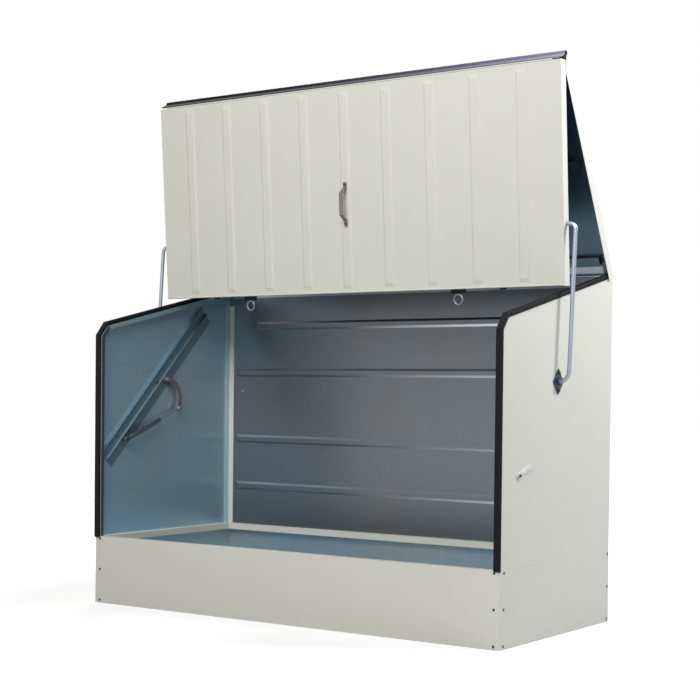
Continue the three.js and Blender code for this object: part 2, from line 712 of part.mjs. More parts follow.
function doorEdge(side, sign) {
  const outside = HALF_LID;
  const inside = HALF_LID - SHEET;
  const front = DOOR_BACK + GAP;
  const back = DOOR_FACE + DOOR_RETURN;
  const outline = outlineOf([
    [sign * outside, front],
    [sign * outside, back],
    [sign * inside, back],
    [sign * inside, front + SHEET],
    [sign * (inside - EDGE_LEG), front + SHEET],
    [sign * (inside - EDGE_LEG), front],
  ]);
  const strip = alongZ(outline, [DOOR_FOOT, DOOR_TOP]);
  const reach = [sign * (inside - OVERRUN), sign * (outside + OVERRUN)];
  const hole = roundAlongX(ARM_RADIUS + RUNNING, reach, PIN_Y, -PIN_DOWN);
  return piece("door_" + side + "_edge", cut(strip, hole), creamPaint);
}

// A channel along the inside of the door, open towards the middle of the door.
function doorChannel(name, edgeZ, inwards) {
  const front = DOOR_BACK + GAP;
  const back = front + CHANNEL_DEEP;
  const outline = outlineOf([
    [front, edgeZ],
    [back, edgeZ],
    [back, edgeZ + inwards * CHANNEL_TALL],
    [back - SHEET, edgeZ + inwards * CHANNEL_TALL],
    [back - SHEET, edgeZ + inwards * SHEET],
    [front + SHEET, edgeZ + inwards * SHEET],
    [front + SHEET, edgeZ + inwards * CHANNEL_TALL],
    [front, edgeZ + inwards * CHANNEL_TALL],
  ]);
  const half = HALF_LID - CHANNEL_INSET;
  return piece(name, alongX(outline, [-half, half]), galvanised);
}

function doorHingeRod() {
  const half = HALF_LID - CHANNEL_INSET;
  return piece("door_hinge_rod", roundAlongX(HINGE_ROD_RADIUS, [-half, half]), creamPaint);
}

function doorHandle() {
  const faceY = DOOR_FACE - RIB_RISE - GAP;
  const path = [
    [faceY, -HANDLE_TOP_SCREW + HANDLE_FOOT],
    [faceY, -HANDLE_TOP_SCREW - HANDLE_FOOT],
    [faceY - HANDLE_STANDOFF, -HANDLE_GRIP_TOP],
    [faceY - HANDLE_STANDOFF, -HANDLE_GRIP_LOW],
    [faceY, -HANDLE_LOW_SCREW + HANDLE_FOOT],
    [faceY, -HANDLE_LOW_SCREW - HANDLE_FOOT],
  ];
  const stretches = path.slice(1);
  const outline = bandAlong(path, stretches.map(() => 0), stretches.map(() => -HANDLE_THICK));
  const half = HANDLE_WIDTH / 2;
  return piece("door_handle", alongX(outline, [HANDLE_X - half, HANDLE_X + half]), handleSteel);
}

function handleScrew(name, down) {
  const seat = DOOR_FACE - RIB_RISE - GAP - HANDLE_THICK - GAP;
  const ends = [seat - HANDLE_SCREW_HEAD, seat];
  return piece(name, roundAlongY(HANDLE_SCREW_RADIUS, ends, HANDLE_X, -down), darkSteel);
}

function lockLoop(side, sign) {
  const middleZ = DOOR_FOOT - GAP - PAD_HEIGHT - GAP - LOOP_HEIGHT / 2;
  const x = sign * LOOP_X;
  const ring = new THREE.Shape();
  ring.absellipse(x, middleZ, LOOP_WIDTH / 2, LOOP_HEIGHT / 2, 0, Math.PI * 2, false);
  const hole = new THREE.Path();
  hole.absellipse(x, middleZ, LOOP_WIDTH / 2 - LOOP_BAR, LOOP_HEIGHT / 2 - LOOP_BAR, 0, Math.PI * 2, true);
  ring.holes.push(hole);
  return piece(side + "_lock_loop", alongY(ring, [LOOP_FRONT, LOOP_FRONT + LOOP_THICK]), zincPlate);
}

function loopPad(side, sign) {
  const x = sign * LOOP_X;
  const top = DOOR_FOOT - GAP;
  const xs = [x - PAD_WIDTH / 2, x + PAD_WIDTH / 2];
  const pad = block(xs, [DOOR_BACK, DOOR_BACK + PAD_DEPTH], [top - PAD_HEIGHT, top]);
  return piece(side + "_loop_pad", pad, blackRubber);
}

function doorBuffer(side, sign) {
  const top = DOOR_FOOT - GAP;
  const y = DOOR_BACK + GAP + CHANNEL_DEEP - BUFFER_RADIUS / 2;
  const closedSill = BASE_HEIGHT - PIVOT_CLOSED[1];
  const stub = roundAlongZ(BUFFER_RADIUS, [closedSill + BUFFER_CLEARANCE, top], sign * BUFFER_X, y);
  return piece(side + "_buffer", stub, blackRubber);
}

// Roof, in its own frame: the rear hinge axis is the origin, and the roof runs forward from it.

const ROOF_SIDE_FOOT = ROOF_UNDERSIDE - ROOF_RETURN;
const UNDER_ROOF = ROOF_UNDERSIDE - GAP;

function roofPanel() {
  const sheet = block(
    [-HALF_LID, HALF_LID],
    [-ROOF_LENGTH, ROOF_REAR],
    [ROOF_UNDERSIDE, ROOF_UNDERSIDE + SHEET],
  );
  return piece("roof_panel", sheet, creamPaint);
}

function roofFrontLip() {
  const outline = outlineOf([
    [-ROOF_LENGTH, LIP_BOTTOM],
    [-ROOF_LENGTH, UNDER_ROOF],
    [CHANNEL_DEEP - ROOF_LENGTH, UNDER_ROOF],
    [CHANNEL_DEEP - ROOF_LENGTH, UNDER_ROOF - SHEET],
    [SHEET - ROOF_LENGTH, UNDER_ROOF - SHEET],
    [SHEET - ROOF_LENGTH, LIP_BOTTOM],
  ]);
  const half = HALF_LID - SHEET - GAP - EDGE_LEG - GAP;
  return piece("roof_front_lip", alongX(outline, [-half, half]), creamPaint);
}

function roofEdge(side, sign) {
  const inside = HALF_LID - SHEET;
  const front = -ROOF_LENGTH;
  const outline = outlineOf([
    [front, UNDER_ROOF],
    [front, UNDER_ROOF - SHEET],
    [front + ROOF_CORNER_CUT, ROOF_SIDE_FOOT],
    [ROOF_REAR, ROOF_SIDE_FOOT],
    [ROOF_REAR, UNDER_ROOF],
  ]);
  const skirt = alongX(outline, [sign * inside, sign * HALF_LID]);
  const leg = block(
    [sign * (inside - EDGE_LEG), sign * HALF_LID],
    [front, ROOF_REAR],
    [UNDER_ROOF - SHEET, UNDER_ROOF],
  );
  return piece("roof_" + side + "_edge", joined(skirt, leg), creamPaint);
}

function roofHingeLeaf() {
  const half = HALF_LID - CHANNEL_INSET;
  const deep = [ROOF_REAR - LEAF_DEPTH, ROOF_REAR];
  const leaf = block([-half, half], deep, [UNDER_ROOF - LEAF_THICK, UNDER_ROOF]);
  return piece("roof_hinge_leaf", leaf, galvanised);
}

// A shallow hat section across the underside of the roof.
function roofStiffener(name, forward) {
  const foot = STIFFENER_WIDTH / 2;
  const crown = STIFFENER_TOP_WIDTH / 2;
  const low = UNDER_ROOF - STIFFENER_DEPTH;
  const outline = outlineOf([
    [-forward - foot, UNDER_ROOF],
    [-forward - crown - SHEET, UNDER_ROOF],
    [-forward - crown, low + SHEET],
    [crown - forward, low + SHEET],
    [crown + SHEET - forward, UNDER_ROOF],
    [foot - forward, UNDER_ROOF],
    [foot - forward, UNDER_ROOF - SHEET],
    [crown + SHEET + SHEET - forward, UNDER_ROOF - SHEET],
    [crown + SHEET - forward, low],
    [-forward - crown - SHEET, low],
    [-forward - crown - SHEET - SHEET, UNDER_ROOF - SHEET],
    [-forward - foot, UNDER_ROOF - SHEET],
  ]);
  const half = HALF_LID - CHANNEL_INSET;
  return piece(name, alongX(outline, [-half, half]), galvanised);
}

function weatherStrip() {
  const back = -ROOF_LENGTH - GAP;
  const front = back - STRIP_THICK;
  const half = HALF_LID - SHEET;
  const top = ROOF_UNDERSIDE + SHEET;
  const strip = block([-half, half], [front, back], [LIP_BOTTOM, top]);
  const roll = roundAlongX(STRIP_END_RADIUS, [-half, half], front, top - STRIP_END_RADIUS);
  const behind = block(
    [-HALF_LID, HALF_LID],
    [back, back + 2 * STRIP_END_RADIUS],
    [LIP_BOTTOM, top + OVERRUN],
  );
  return piece("weather_strip", cut(joined(strip, roll), behind), glossRubber);
}

// Lift arm, in its own frame: the axle is the origin, and the arm stands up from it.

function roundedPath(corners, radii) {
  const points = [corners[0]];
  radii.forEach((radius, i) => {
    const corner = corners[i + 1];
    const back = corners[i].clone().sub(corner).normalize();
    const on = corners[i + 2].clone().sub(corner).normalize();
    const centre = corner.clone().addScaledVector(back, radius).addScaledVector(on, radius);
    for (let step = 0; step <= BEND_STEPS; step += 1) {
      const angle = ((step / BEND_STEPS) * Math.PI) / 2;
      const point = centre.clone();
      point.addScaledVector(on, -radius * Math.cos(angle));
      point.addScaledVector(back, -radius * Math.sin(angle));
      points.push(point);
    }
  });
  points.push(corners[corners.length - 1]);
  return new THREE.CatmullRomCurve3(points, false, "centripetal");
}

function roundSection(radius) {
  const section = new THREE.Shape();
  const turn = (Math.PI * 2) / ROUND_SIDES;
  for (let i = 0; i < ROUND_SIDES; i += 1) {
    const [a, b] = [radius * Math.cos(i * turn), radius * Math.sin(i * turn)];
    if (i === 0) {
      section.moveTo(a, b);
    } else {
      section.lineTo(a, b);
    }
  }
  section.closePath();
  return section;
}

function liftArm(side, sign) {
  const out = sign * (HALF_WIDTH + ARM_OUT);
  const corners = [
    new THREE.Vector3(sign * CRANK_FACE, 0, 0),
    new THREE.Vector3(out, 0, 0),
    new THREE.Vector3(out, 0, ARM_LENGTH),
    new THREE.Vector3(sign * (HALF_WIDTH + ARM_TIP_OUT), 0, ARM_LENGTH),
  ];
  const path = roundedPath(corners, [ARM_LOW_BEND, ARM_TOP_BEND]);
  const rod = new THREE.ExtrudeGeometry(roundSection(ARM_RADIUS), {
    steps: ARM_STEPS,
    extrudePath: path,
    bevelEnabled: false,
  });
  return piece(side + "_lift_arm", facingOut(rod), zincPlate);
}

// Crank on the arm's inner end, in the arm's frame: a flat link that bows away from the strut.
function crank(side, sign) {
  const half = CRANK_WIDTH / 2;
  const chord = CRANK_LENGTH / 2;
  const radius = (chord * chord + CRANK_BOW * CRANK_BOW) / (2 * CRANK_BOW);
  const sweep = Math.asin(chord / radius);
  const [first, last] = [Math.PI / 2 + sweep, Math.PI / 2 - sweep];
  const outline = new THREE.Shape();
  outline.absarc(chord, CRANK_BOW - radius, radius + half, first, last, true);
  outline.absarc(chord, CRANK_BOW - radius, radius - half, last, first, false);
  const faces = [sign * CRANK_FACE, sign * CRANK_BACK];
  const bosses = [0, CRANK_LENGTH].map((along) => roundAlongX(CRANK_BOSS_RADIUS, faces, along, 0));
  const reach = [sign * (CRANK_FACE - OVERRUN), sign * (CRANK_BACK + OVERRUN)];
  const hole = roundAlongX(ARM_RADIUS + GAP, reach);
  const lever = cut(joined(alongX(outline, faces), ...bosses), hole);
  lever.rotateX(CRANK_ANGLE - ARM_LEAN);
  return piece(side + "_crank", lever, darkSteel);
}

// Spring tube and its rod, in the tube's frame: the stud is the origin, and Y runs to the crank.

function springTube(side, sign) {
  const middle = (EYE_BACK + EYE_FACE) / 2;
  const eye = roundAlongX(EYE_RADIUS, [sign * EYE_BACK, sign * EYE_FACE]);
  const start = ANCHOR_SHOULDER_RADIUS + SPRING_CLEARANCE;
  const end = start + SPRING_TUBE_LENGTH;
  const neck = block([sign * EYE_BACK, sign * EYE_FACE], [0, start + OVERRUN], [-NECK_HALF, NECK_HALF]);
  const tube = roundAlongY(SPRING_TUBE_RADIUS, [start, end], sign * middle, 0);
  const depths = [start + FEED_LENGTH, end + OVERRUN];
  const bore = roundAlongY(SPRING_ROD_RADIUS + RUNNING, depths, sign * middle, 0);
  const reach = [sign * (EYE_BACK + OVERRUN), sign * (EYE_FACE - OVERRUN)];
  const studHole = roundAlongX(ANCHOR_STUD_RADIUS + RUNNING, reach);
  return piece(side + "_spring_tube", cut(joined(eye, neck, tube), bore, studHole), darkSteel);
}

function springRod(side, sign) {
  const middle = (EYE_BACK + EYE_FACE) / 2;
  const eye = roundAlongX(EYE_RADIUS, [sign * EYE_BACK, sign * EYE_FACE], SPRING_LENGTH, 0);
  const rod = roundAlongY(SPRING_ROD_RADIUS, [SPRING_ROD_START, SPRING_LENGTH], sign * middle, 0);
  return piece(side + "_spring_rod", joined(eye, rod), zincPlate);
}

// The whole locker

function group(y, z, turn, pieces) {
  const made = new THREE.Group();
  made.position.set(0, y, z);
  made.rotation.x = turn;
  made.add(...pieces);
  return made;
}

function bothSides(...makers) {
  return LEFT_AND_RIGHT.flatMap(([side, sign]) => makers.map((make) => make(side, sign)));
}

const shell = group(0, 0, 0, [
  floorTray(),
  basePanelAcross("base_front", -1),
  basePanelAcross("base_rear", 1),
  basePanelBeside("base_left", -1),
  basePanelBeside("base_right", 1),
  rearWall(),
  rearHingeRail(),
  ...bothSides(sideWall, frontPost, topRail, rearPost, edgeSeal),
  ...bothSides(brace, axleBush, springAnchor, armBracket, armKeeper),
]);

const door = group(PIVOT_OPEN[0], PIVOT_OPEN[1], DOOR_LEAN, [
  doorPanel(),
  ...bothSides(doorEdge, lockLoop, loopPad, doorBuffer),
  doorChannel("door_top_channel", DOOR_TOP, -1),
  doorChannel("door_bottom_channel", DOOR_FOOT, 1),
  doorHingeRod(),
  doorHandle(),
  handleScrew("handle_upper_screw", HANDLE_TOP_SCREW),
  handleScrew("handle_lower_screw", HANDLE_LOW_SCREW),
]);

const roof = group(HINGE_Y, HINGE_Z, -ROOF_OPEN, [
  roofPanel(),
  roofFrontLip(),
  ...bothSides(roofEdge),
  roofHingeLeaf(),
  roofStiffener("roof_rear_stiffener", REAR_STIFFENER_AT),
  roofStiffener("roof_front_stiffener", FRONT_STIFFENER_AT),
  weatherStrip(),
]);

const arms = group(AXLE_Y, AXLE_Z, ARM_LEAN, bothSides(liftArm, crank));
const springs = group(ANCHOR_Y, ANCHOR_Z, SPRING_ANGLE, bothSides(springTube, springRod));

const locker = new THREE.Group();
locker.add(shell, door, roof, arms, springs);

export default locker;
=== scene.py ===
# %% [markdown]
# A steel bicycle locker for a street or a yard, standing open.
# A low box of folded sheet stands on a base of its own. Its lid is in two parts: a ribbed door, which hangs
# upright above the box, and a roof, which leans back behind it. A bent rod on each side carries the door.
# The sheets, rails and braces come ready made from the frame. This lesson gives them their finishes, and
# makes again the pieces whose form needs round edges: seals, rods, handle, loops, screws and rivets.

# %% Load the frame
import json
import math

import bmesh
import bpy
from mathutils import Matrix, Vector


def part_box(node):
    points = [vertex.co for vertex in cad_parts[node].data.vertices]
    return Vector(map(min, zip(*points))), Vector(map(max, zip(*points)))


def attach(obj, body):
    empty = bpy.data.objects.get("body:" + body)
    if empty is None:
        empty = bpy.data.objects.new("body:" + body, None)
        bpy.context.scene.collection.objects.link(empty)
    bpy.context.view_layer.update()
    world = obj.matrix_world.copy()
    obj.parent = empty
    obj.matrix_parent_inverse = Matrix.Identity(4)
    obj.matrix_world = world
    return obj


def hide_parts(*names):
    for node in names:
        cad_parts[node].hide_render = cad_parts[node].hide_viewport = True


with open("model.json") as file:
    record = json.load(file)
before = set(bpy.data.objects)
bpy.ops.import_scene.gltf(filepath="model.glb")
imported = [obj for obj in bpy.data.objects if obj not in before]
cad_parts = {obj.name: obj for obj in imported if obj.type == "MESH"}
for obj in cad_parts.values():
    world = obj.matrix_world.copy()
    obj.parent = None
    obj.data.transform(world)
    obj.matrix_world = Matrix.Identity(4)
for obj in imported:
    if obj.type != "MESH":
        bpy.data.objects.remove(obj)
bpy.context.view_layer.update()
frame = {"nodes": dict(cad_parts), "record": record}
MM = 0.001

# %% [markdown]
# The camera stands in front of the locker and to its right, at about the height of its shoulder.
# Its place, turn and focal length were worked out from the corners of the box in the photograph, and the
# middle of that picture was off the lens axis, so the lens is shifted a little. A camera could also be aimed
# by eye, but a measured one lets every edge be compared with the photograph.

# %% Camera
PICTURE_SIDE = 700
FOCAL_PIXELS = 1514.7
AXIS_PIXEL = (353.75, 418.41)
CAMERA_AT = Vector((3.5767, -5.0994, 0.91))
CAMERA_YAW = 0.6062
CAMERA_DIP = 0.0183
CAMERA_ROLL = 0.0109
SENSOR = 36

ahead = Vector((
    -math.sin(CAMERA_YAW) * math.cos(CAMERA_DIP),
    math.cos(CAMERA_YAW) * math.cos(CAMERA_DIP),
    -math.sin(CAMERA_DIP),
))
level = Vector((math.cos(CAMERA_YAW), math.sin(CAMERA_YAW), 0))
upward = level.cross(ahead)
side = level * math.cos(CAMERA_ROLL) + upward * math.sin(CAMERA_ROLL)
top = upward * math.cos(CAMERA_ROLL) - level * math.sin(CAMERA_ROLL)

lens = bpy.data.cameras.new("camera")
lens.sensor_width = SENSOR
lens.lens = SENSOR * FOCAL_PIXELS / PICTURE_SIDE
lens.shift_x = (PICTURE_SIDE / 2 - AXIS_PIXEL[0]) / PICTURE_SIDE
lens.shift_y = (AXIS_PIXEL[1] - PICTURE_SIDE / 2) / PICTURE_SIDE
camera = bpy.data.objects.new("camera", lens)
camera.matrix_world = Matrix.Translation(CAMERA_AT) @ Matrix((side, top, -ahead)).transposed().to_4x4()
bpy.context.scene.collection.objects.link(camera)
bpy.context.scene.camera = camera
print("camera lens", round(lens.lens, 1), "mm")

# %% [markdown]
# The materials are all node trees. Adding a node takes three lines each time: make it, set its values and
# link its inputs. One helper does the three, so that a finish can be read from top to bottom. The small ones
# after it stand for the steps that come most often, such as arithmetic, or turning one range into another.

# %% Helpers that add shader nodes
def put(tree, kind, inputs=None, **settings):
    """Adds a node. An input is given as a value, or as another node's output, which is linked."""
    node = tree.nodes.new(kind)
    for name, value in settings.items():
        setattr(node, name, value)
    for name, value in (inputs or {}).items():
        if isinstance(value, bpy.types.NodeSocket):
            tree.links.new(value, node.inputs[name])
        else:
            node.inputs[name].default_value = value
    return node


def maths(tree, operation, *values):
    return put(tree, "ShaderNodeMath", dict(enumerate(values)), operation=operation).outputs[0]


def ranged(tree, value, start, end, low=0.0, high=1.0):
    """Low where the value is at the start, high where it is at the end, even between, and held outside."""
    limits = {"From Min": start, "From Max": end, "To Min": low, "To Max": high}
    return put(tree, "ShaderNodeMapRange", {"Value": value, **limits}).outputs["Result"]


def scaled(tree, colour, gain):
    return put(tree, "ShaderNodeVectorMath", {0: colour, "Scale": gain}, operation="SCALE").outputs["Vector"]


def noise(tree, place, per_metre, detail):
    texture = put(tree, "ShaderNodeTexNoise", {"Vector": place, "Scale": per_metre, "Detail": detail})
    return texture.outputs["Fac"]


def own_place(tree):
    """The piece's own coordinates, in metres, and the way that each face points in them."""
    return put(tree, "ShaderNodeTexCoord").outputs


def along_axis(tree, vector, axis):
    return put(tree, "ShaderNodeSeparateXYZ", {0: vector}).outputs[axis]


# %% A helper that starts a shared effect
COLOUR = "NodeSocketColor"
NUMBER = "NodeSocketFloat"


def new_effect(name, inputs, outputs):
    """Starts a node group with named inputs and outputs. Gives its tree, its inputs and its output node."""
    tree = bpy.data.node_groups.new(name, "ShaderNodeTree")
    for label, kind, value in inputs:
        socket = tree.interface.new_socket(label, in_out="INPUT", socket_type=kind)
        socket.default_value = value
    for label, kind in outputs:
        tree.interface.new_socket(label, in_out="OUTPUT", socket_type=kind)
    return tree, tree.nodes.new("NodeGroupInput").outputs, tree.nodes.new("NodeGroupOutput")


# %% [markdown]
# Painted and plated sheet is never one even tone: it is rolled, sprayed and handled. A slow cloud of lighter
# and darker paint, a fine grain like the skin of an orange, and a little dirt near the ground are shared by
# many finishes, so each is a node group. Every pattern is placed by Object coordinates, at its real size.

# %% Slow clouds of tone
MIDDLE = 0.5
CLOUD_DETAIL = 4.0


def make_cloud_effect():
    tree, given, result = new_effect(
        "Clouded Tone",
        [("Colour", COLOUR, (0.6, 0.6, 0.6, 1)), ("Cloud Size", NUMBER, 0.3), ("Depth", NUMBER, 0.06)],
        [("Colour", COLOUR)],
    )
    per_metre = maths(tree, "DIVIDE", 1.0, given["Cloud Size"])
    cloud = noise(tree, own_place(tree)["Object"], per_metre, CLOUD_DETAIL)
    centred = maths(tree, "SUBTRACT", cloud, MIDDLE)
    gain = maths(tree, "MULTIPLY_ADD", centred, given["Depth"], 1.0)
    tree.links.new(scaled(tree, given["Colour"], gain), result.inputs["Colour"])
    return tree


cloud_effect = make_cloud_effect()
print("made", cloud_effect.name)

# %% Fine grain of sprayed paint, rubber and castings
GRAIN_DETAIL = 2.0
GRAIN_BAND = (0.35, 0.65)


def make_grain_effect():
    tree, given, result = new_effect(
        "Fine Grain", [("Grain Size", NUMBER, 1.2 * MM)], [("Height", NUMBER), ("Mask", NUMBER)]
    )
    per_metre = maths(tree, "DIVIDE", 1.0, given["Grain Size"])
    fine = noise(tree, own_place(tree)["Object"], per_metre, GRAIN_DETAIL)
    tree.links.new(fine, result.inputs["Height"])
    tree.links.new(ranged(tree, fine, *GRAIN_BAND), result.inputs["Mask"])
    return tree


grain_effect = make_grain_effect()
print("made", grain_effect.name)

# %% Dirt thrown up from the ground
SPOTS_PER_METRE = 70.0
SPOT_DETAIL = 5.0
SPOT_BAND = (0.38, 0.7)


def make_splash_effect():
    tree, given, result = new_effect("Ground Splash", [("Reach", NUMBER, 0.12)], [("Mask", NUMBER)])
    place = own_place(tree)["Object"]
    low = ranged(tree, along_axis(tree, place, "Z"), 0.0, given["Reach"], low=1.0, high=0.0)
    broken = ranged(tree, noise(tree, place, SPOTS_PER_METRE, SPOT_DETAIL), *SPOT_BAND)
    tree.links.new(maths(tree, "MULTIPLY", low, broken), result.inputs["Mask"])
    return tree


splash_effect = make_splash_effect()
print("made", splash_effect.name)

# %% [markdown]
# Hot-dipped zinc freezes in flat crystals, which is called spangle. Each crystal has its own tone and its own
# gloss, so a Voronoi pattern with one random value to each cell is close to the real thing. A second, much
# wider noise warms and dulls the sheet in drifts, as zinc does once it has stood in the open. The gloss
# varies only a little: with more of it, a lamp's reflection breaks up into specks.

# %% Zinc spangle
BENDS_PER_METRE = 60.0
BEND_REACH = (2 * MM, 2 * MM, 2 * MM)
DRIFTS_PER_METRE = 3.5
DRIFT_DETAIL = 3.0
OXIDE_BAND = (0.45, 0.7)
OXIDE_TINT = (1.12, 0.96, 0.86)
DULL_BAND = (0.35, 1.1)
ZINC_ROUGHNESS = (0.29, 0.33)


def make_spangle_effect():
    tree, given, result = new_effect(
        "Zinc Spangle",
        [
            ("Colour", COLOUR, (0.3, 0.35, 0.38, 1)),
            ("Crystal Size", NUMBER, 12 * MM),
            ("Contrast", NUMBER, 0.07),
            ("Oxide", NUMBER, 0.8),
        ],
        [("Colour", COLOUR), ("Roughness", NUMBER), ("Height", NUMBER)],
    )
    place = own_place(tree)["Object"]
    bent = put(tree, "ShaderNodeTexNoise", {"Vector": place, "Scale": BENDS_PER_METRE}).outputs["Color"]
    shifted = put(
        tree, "ShaderNodeVectorMath", {0: bent, 1: BEND_REACH, 2: place}, operation="MULTIPLY_ADD"
    ).outputs["Vector"]
    per_metre = maths(tree, "DIVIDE", 1.0, given["Crystal Size"])
    cells = put(tree, "ShaderNodeTexVoronoi", {"Vector": shifted, "Scale": per_metre}).outputs["Color"]
    crystal = put(tree, "ShaderNodeSeparateColor", {"Color": cells}).outputs["Red"]
    centred = maths(tree, "SUBTRACT", crystal, MIDDLE)
    toned = scaled(tree, given["Colour"], maths(tree, "MULTIPLY_ADD", centred, given["Contrast"], 1.0))
    drift = noise(tree, place, DRIFTS_PER_METRE, DRIFT_DETAIL)
    oxide = ranged(tree, drift, *OXIDE_BAND, high=given["Oxide"])
    tinting = {0: toned, 1: OXIDE_TINT}
    warmed = put(tree, "ShaderNodeVectorMath", tinting, operation="MULTIPLY").outputs["Vector"]
    aged = put(tree, "ShaderNodeMix", {0: oxide, 4: toned, 5: warmed}, data_type="VECTOR").outputs[1]
    dulled = maths(tree, "MULTIPLY_ADD", crystal, MIDDLE, drift)
    tree.links.new(aged, result.inputs["Colour"])
    tree.links.new(ranged(tree, dulled, *DULL_BAND, *ZINC_ROUGHNESS), result.inputs["Roughness"])
    tree.links.new(crystal, result.inputs["Height"])
    return tree


spangle_effect = make_spangle_effect()
print("made", spangle_effect.name)

# %% [markdown]
# A material places the effects, blends between them by masks, and feeds the shader. Four helpers do that. The
# number sockets and the colour sockets of a Mix node lie at different places, so the blend looks them up.

# %% Helpers that build a material
MIX_SOCKETS = {"FLOAT": (2, 3, 0), "RGBA": (6, 7, 2)}


def effect(tree, group, inputs=None):
    return put(tree, "ShaderNodeGroup", inputs, node_tree=group).outputs


def blend_of(tree, mask, first, second, kind="FLOAT"):
    """The first value where the mask is 0 and the second where it is 1."""
    at_zero, at_one, blended = MIX_SOCKETS[kind]
    values = {0: mask, at_zero: first, at_one: second}
    return put(tree, "ShaderNodeMix", values, data_type=kind, clamp_factor=True).outputs[blended]


def bare_material(name, metal=0.0, roughness=0.5):
    material = bpy.data.materials.new(name)
    material.use_nodes = True
    shader = material.node_tree.nodes["Principled BSDF"]
    shader.inputs["Metallic"].default_value = metal
    shader.inputs["Roughness"].default_value = roughness
    return material, material.node_tree, shader.inputs


def raise_surface(tree, height, distance, strength=1.0):
    levels = {"Height": height, "Distance": distance, "Strength": strength}
    return put(tree, "ShaderNodeBump", levels).outputs["Normal"]


# %% [markdown]
# The sheets are painted cream on the outside only, after the zinc. The inside is left bare, so a sheet needs
# two finishes on one solid. It could be split into two pieces, but the frame's solids stay whole: instead the
# material looks at which way the face points, in the piece's own coordinates, which turn with it.
# On the rear wall the undersides of the ribs get a painted highlight: a bright reflection, stronger towards
# the right end.

# %% Where a sheet is bare, and where a highlight is painted on its ribs
FACING_IN = 0.5
UNDERSIDE_BAND = (-0.05, -0.25)
RIB_HIGHLIGHT_FROM = (-0.35, 0.6)


def inner_faces(tree, inward, web_within):
    """1 where a face looks inward, and 0 elsewhere. A limit keeps it to the outermost web of the sheet."""
    here = own_place(tree)
    compare = {"operation": "DOT_PRODUCT"}
    along = put(tree, "ShaderNodeVectorMath", {0: here["Normal"], 1: inward}, **compare).outputs["Value"]
    inside = maths(tree, "GREATER_THAN", along, FACING_IN)
    if web_within is None:
        return inside
    depth = put(tree, "ShaderNodeVectorMath", {0: here["Object"], 1: inward}, **compare).outputs["Value"]
    return maths(tree, "MULTIPLY", inside, maths(tree, "LESS_THAN", depth, web_within))


# Paints a highlight on the rib undersides of the rear wall, stronger towards the right end.
def painted_rib_highlight(tree):
    here = own_place(tree)
    underside = ranged(tree, along_axis(tree, here["Normal"], "Z"), *UNDERSIDE_BAND)
    rightwards = ranged(tree, along_axis(tree, here["Object"], "X"), *RIB_HIGHLIGHT_FROM)
    return maths(tree, "MULTIPLY", underside, rightwards)


# %% Cream paint, alone or with bare zinc on the inner face
CREAM = (0.6, 0.602, 0.54, 1)
BARE_ZINC = (0.42, 0.62, 0.74, 1)
# The colour of the painted highlight on the rear wall's rib undersides.
RIB_HIGHLIGHT_ZINC = (0.9, 0.95, 1.0, 1)
DIRT = (0.2, 0.17, 0.13, 1)
DIRT_SHARE = 0.1
PAINT_ROUGHNESS = 0.46
PAINT_SHEEN = 0.25
PAINT_GRAIN = 1.6 * MM
ORANGE_PEEL = 0.12 * MM
GLOSS_SPREAD = 0.08
ZINC_METAL = 0.75


def painted_sheet(name, inward=None, bare=BARE_ZINC, web_within=None, rib_highlight=False):
    """Cream all over, or bare zinc on the faces that look inward."""
    material, tree, surface = bare_material(name, roughness=PAINT_ROUGHNESS)
    surface["Specular IOR Level"].default_value = PAINT_SHEEN
    clouded = effect(tree, cloud_effect, {"Colour": CREAM, "Cloud Size": 0.35, "Depth": 0.07})["Colour"]
    splash = maths(tree, "MULTIPLY", effect(tree, splash_effect)["Mask"], DIRT_SHARE)
    colour = blend_of(tree, splash, clouded, DIRT, "RGBA")
    grain = effect(tree, grain_effect, {"Grain Size": PAINT_GRAIN})
    gloss = maths(tree, "MULTIPLY_ADD", grain["Mask"], GLOSS_SPREAD, PAINT_ROUGHNESS)
    painted = 1.0
    if inward is not None:
        inside = inner_faces(tree, inward, web_within)
        painted = maths(tree, "SUBTRACT", 1.0, inside)
        zinc = effect(tree, spangle_effect, {"Colour": bare})
        metal = zinc["Colour"]
        # A painted highlight on the rib undersides of the rear wall.
        if rib_highlight:
            metal = blend_of(tree, painted_rib_highlight(tree), metal, RIB_HIGHLIGHT_ZINC, "RGBA")
        colour = blend_of(tree, inside, colour, metal, "RGBA")
        gloss = blend_of(tree, inside, gloss, zinc["Roughness"])
        tree.links.new(maths(tree, "MULTIPLY", inside, ZINC_METAL), surface["Metallic"])
    tree.links.new(raise_surface(tree, grain["Height"], ORANGE_PEEL, painted), surface["Normal"])
    tree.links.new(colour, surface["Base Color"])
    tree.links.new(gloss, surface["Roughness"])
    return material


# %% [markdown]
# The stiffeners and braces are bare zinc all over, darkened to paint shade. The rods are zinc plated, which
# is smoother and whiter.
# Brackets are dark steel, the cranks worn steel, the strut tubes drawn steel and the handle brushed, and the
# seals, pads and buffers are rubber. All but the zinc share one recipe: a clouded colour, a grain in the
# gloss and the same grain as a slight relief.

# %% Recipes for bare zinc, for grained steel and rubber, and for the weather strip
RAIL_ZINC = (0.42, 0.5, 0.55, 1)
SPANGLE_RELIEF = 0.01 * MM
STRIP_ROUGHNESS = 0.3
STRIP_SHEEN = 0.12
STRIP_RELIEF = 0.03 * MM
STRIP_DARK = (0.006, 0.007, 0.009, 1)
# A lilac grey painted reflection on the weather strip, growing towards its right end.
STRIP_PAINTED_REFLECTION = (0.24, 0.23, 0.31, 1)
REFLECTION_GROWTH_POWER = 3.0


def zinc_sheet(name, colour=RAIL_ZINC):
    material, tree, surface = bare_material(name, metal=ZINC_METAL)
    zinc = effect(tree, spangle_effect, {"Colour": colour})
    tree.links.new(zinc["Colour"], surface["Base Color"])
    tree.links.new(zinc["Roughness"], surface["Roughness"])
    tree.links.new(raise_surface(tree, zinc["Height"], SPANGLE_RELIEF), surface["Normal"])
    return material


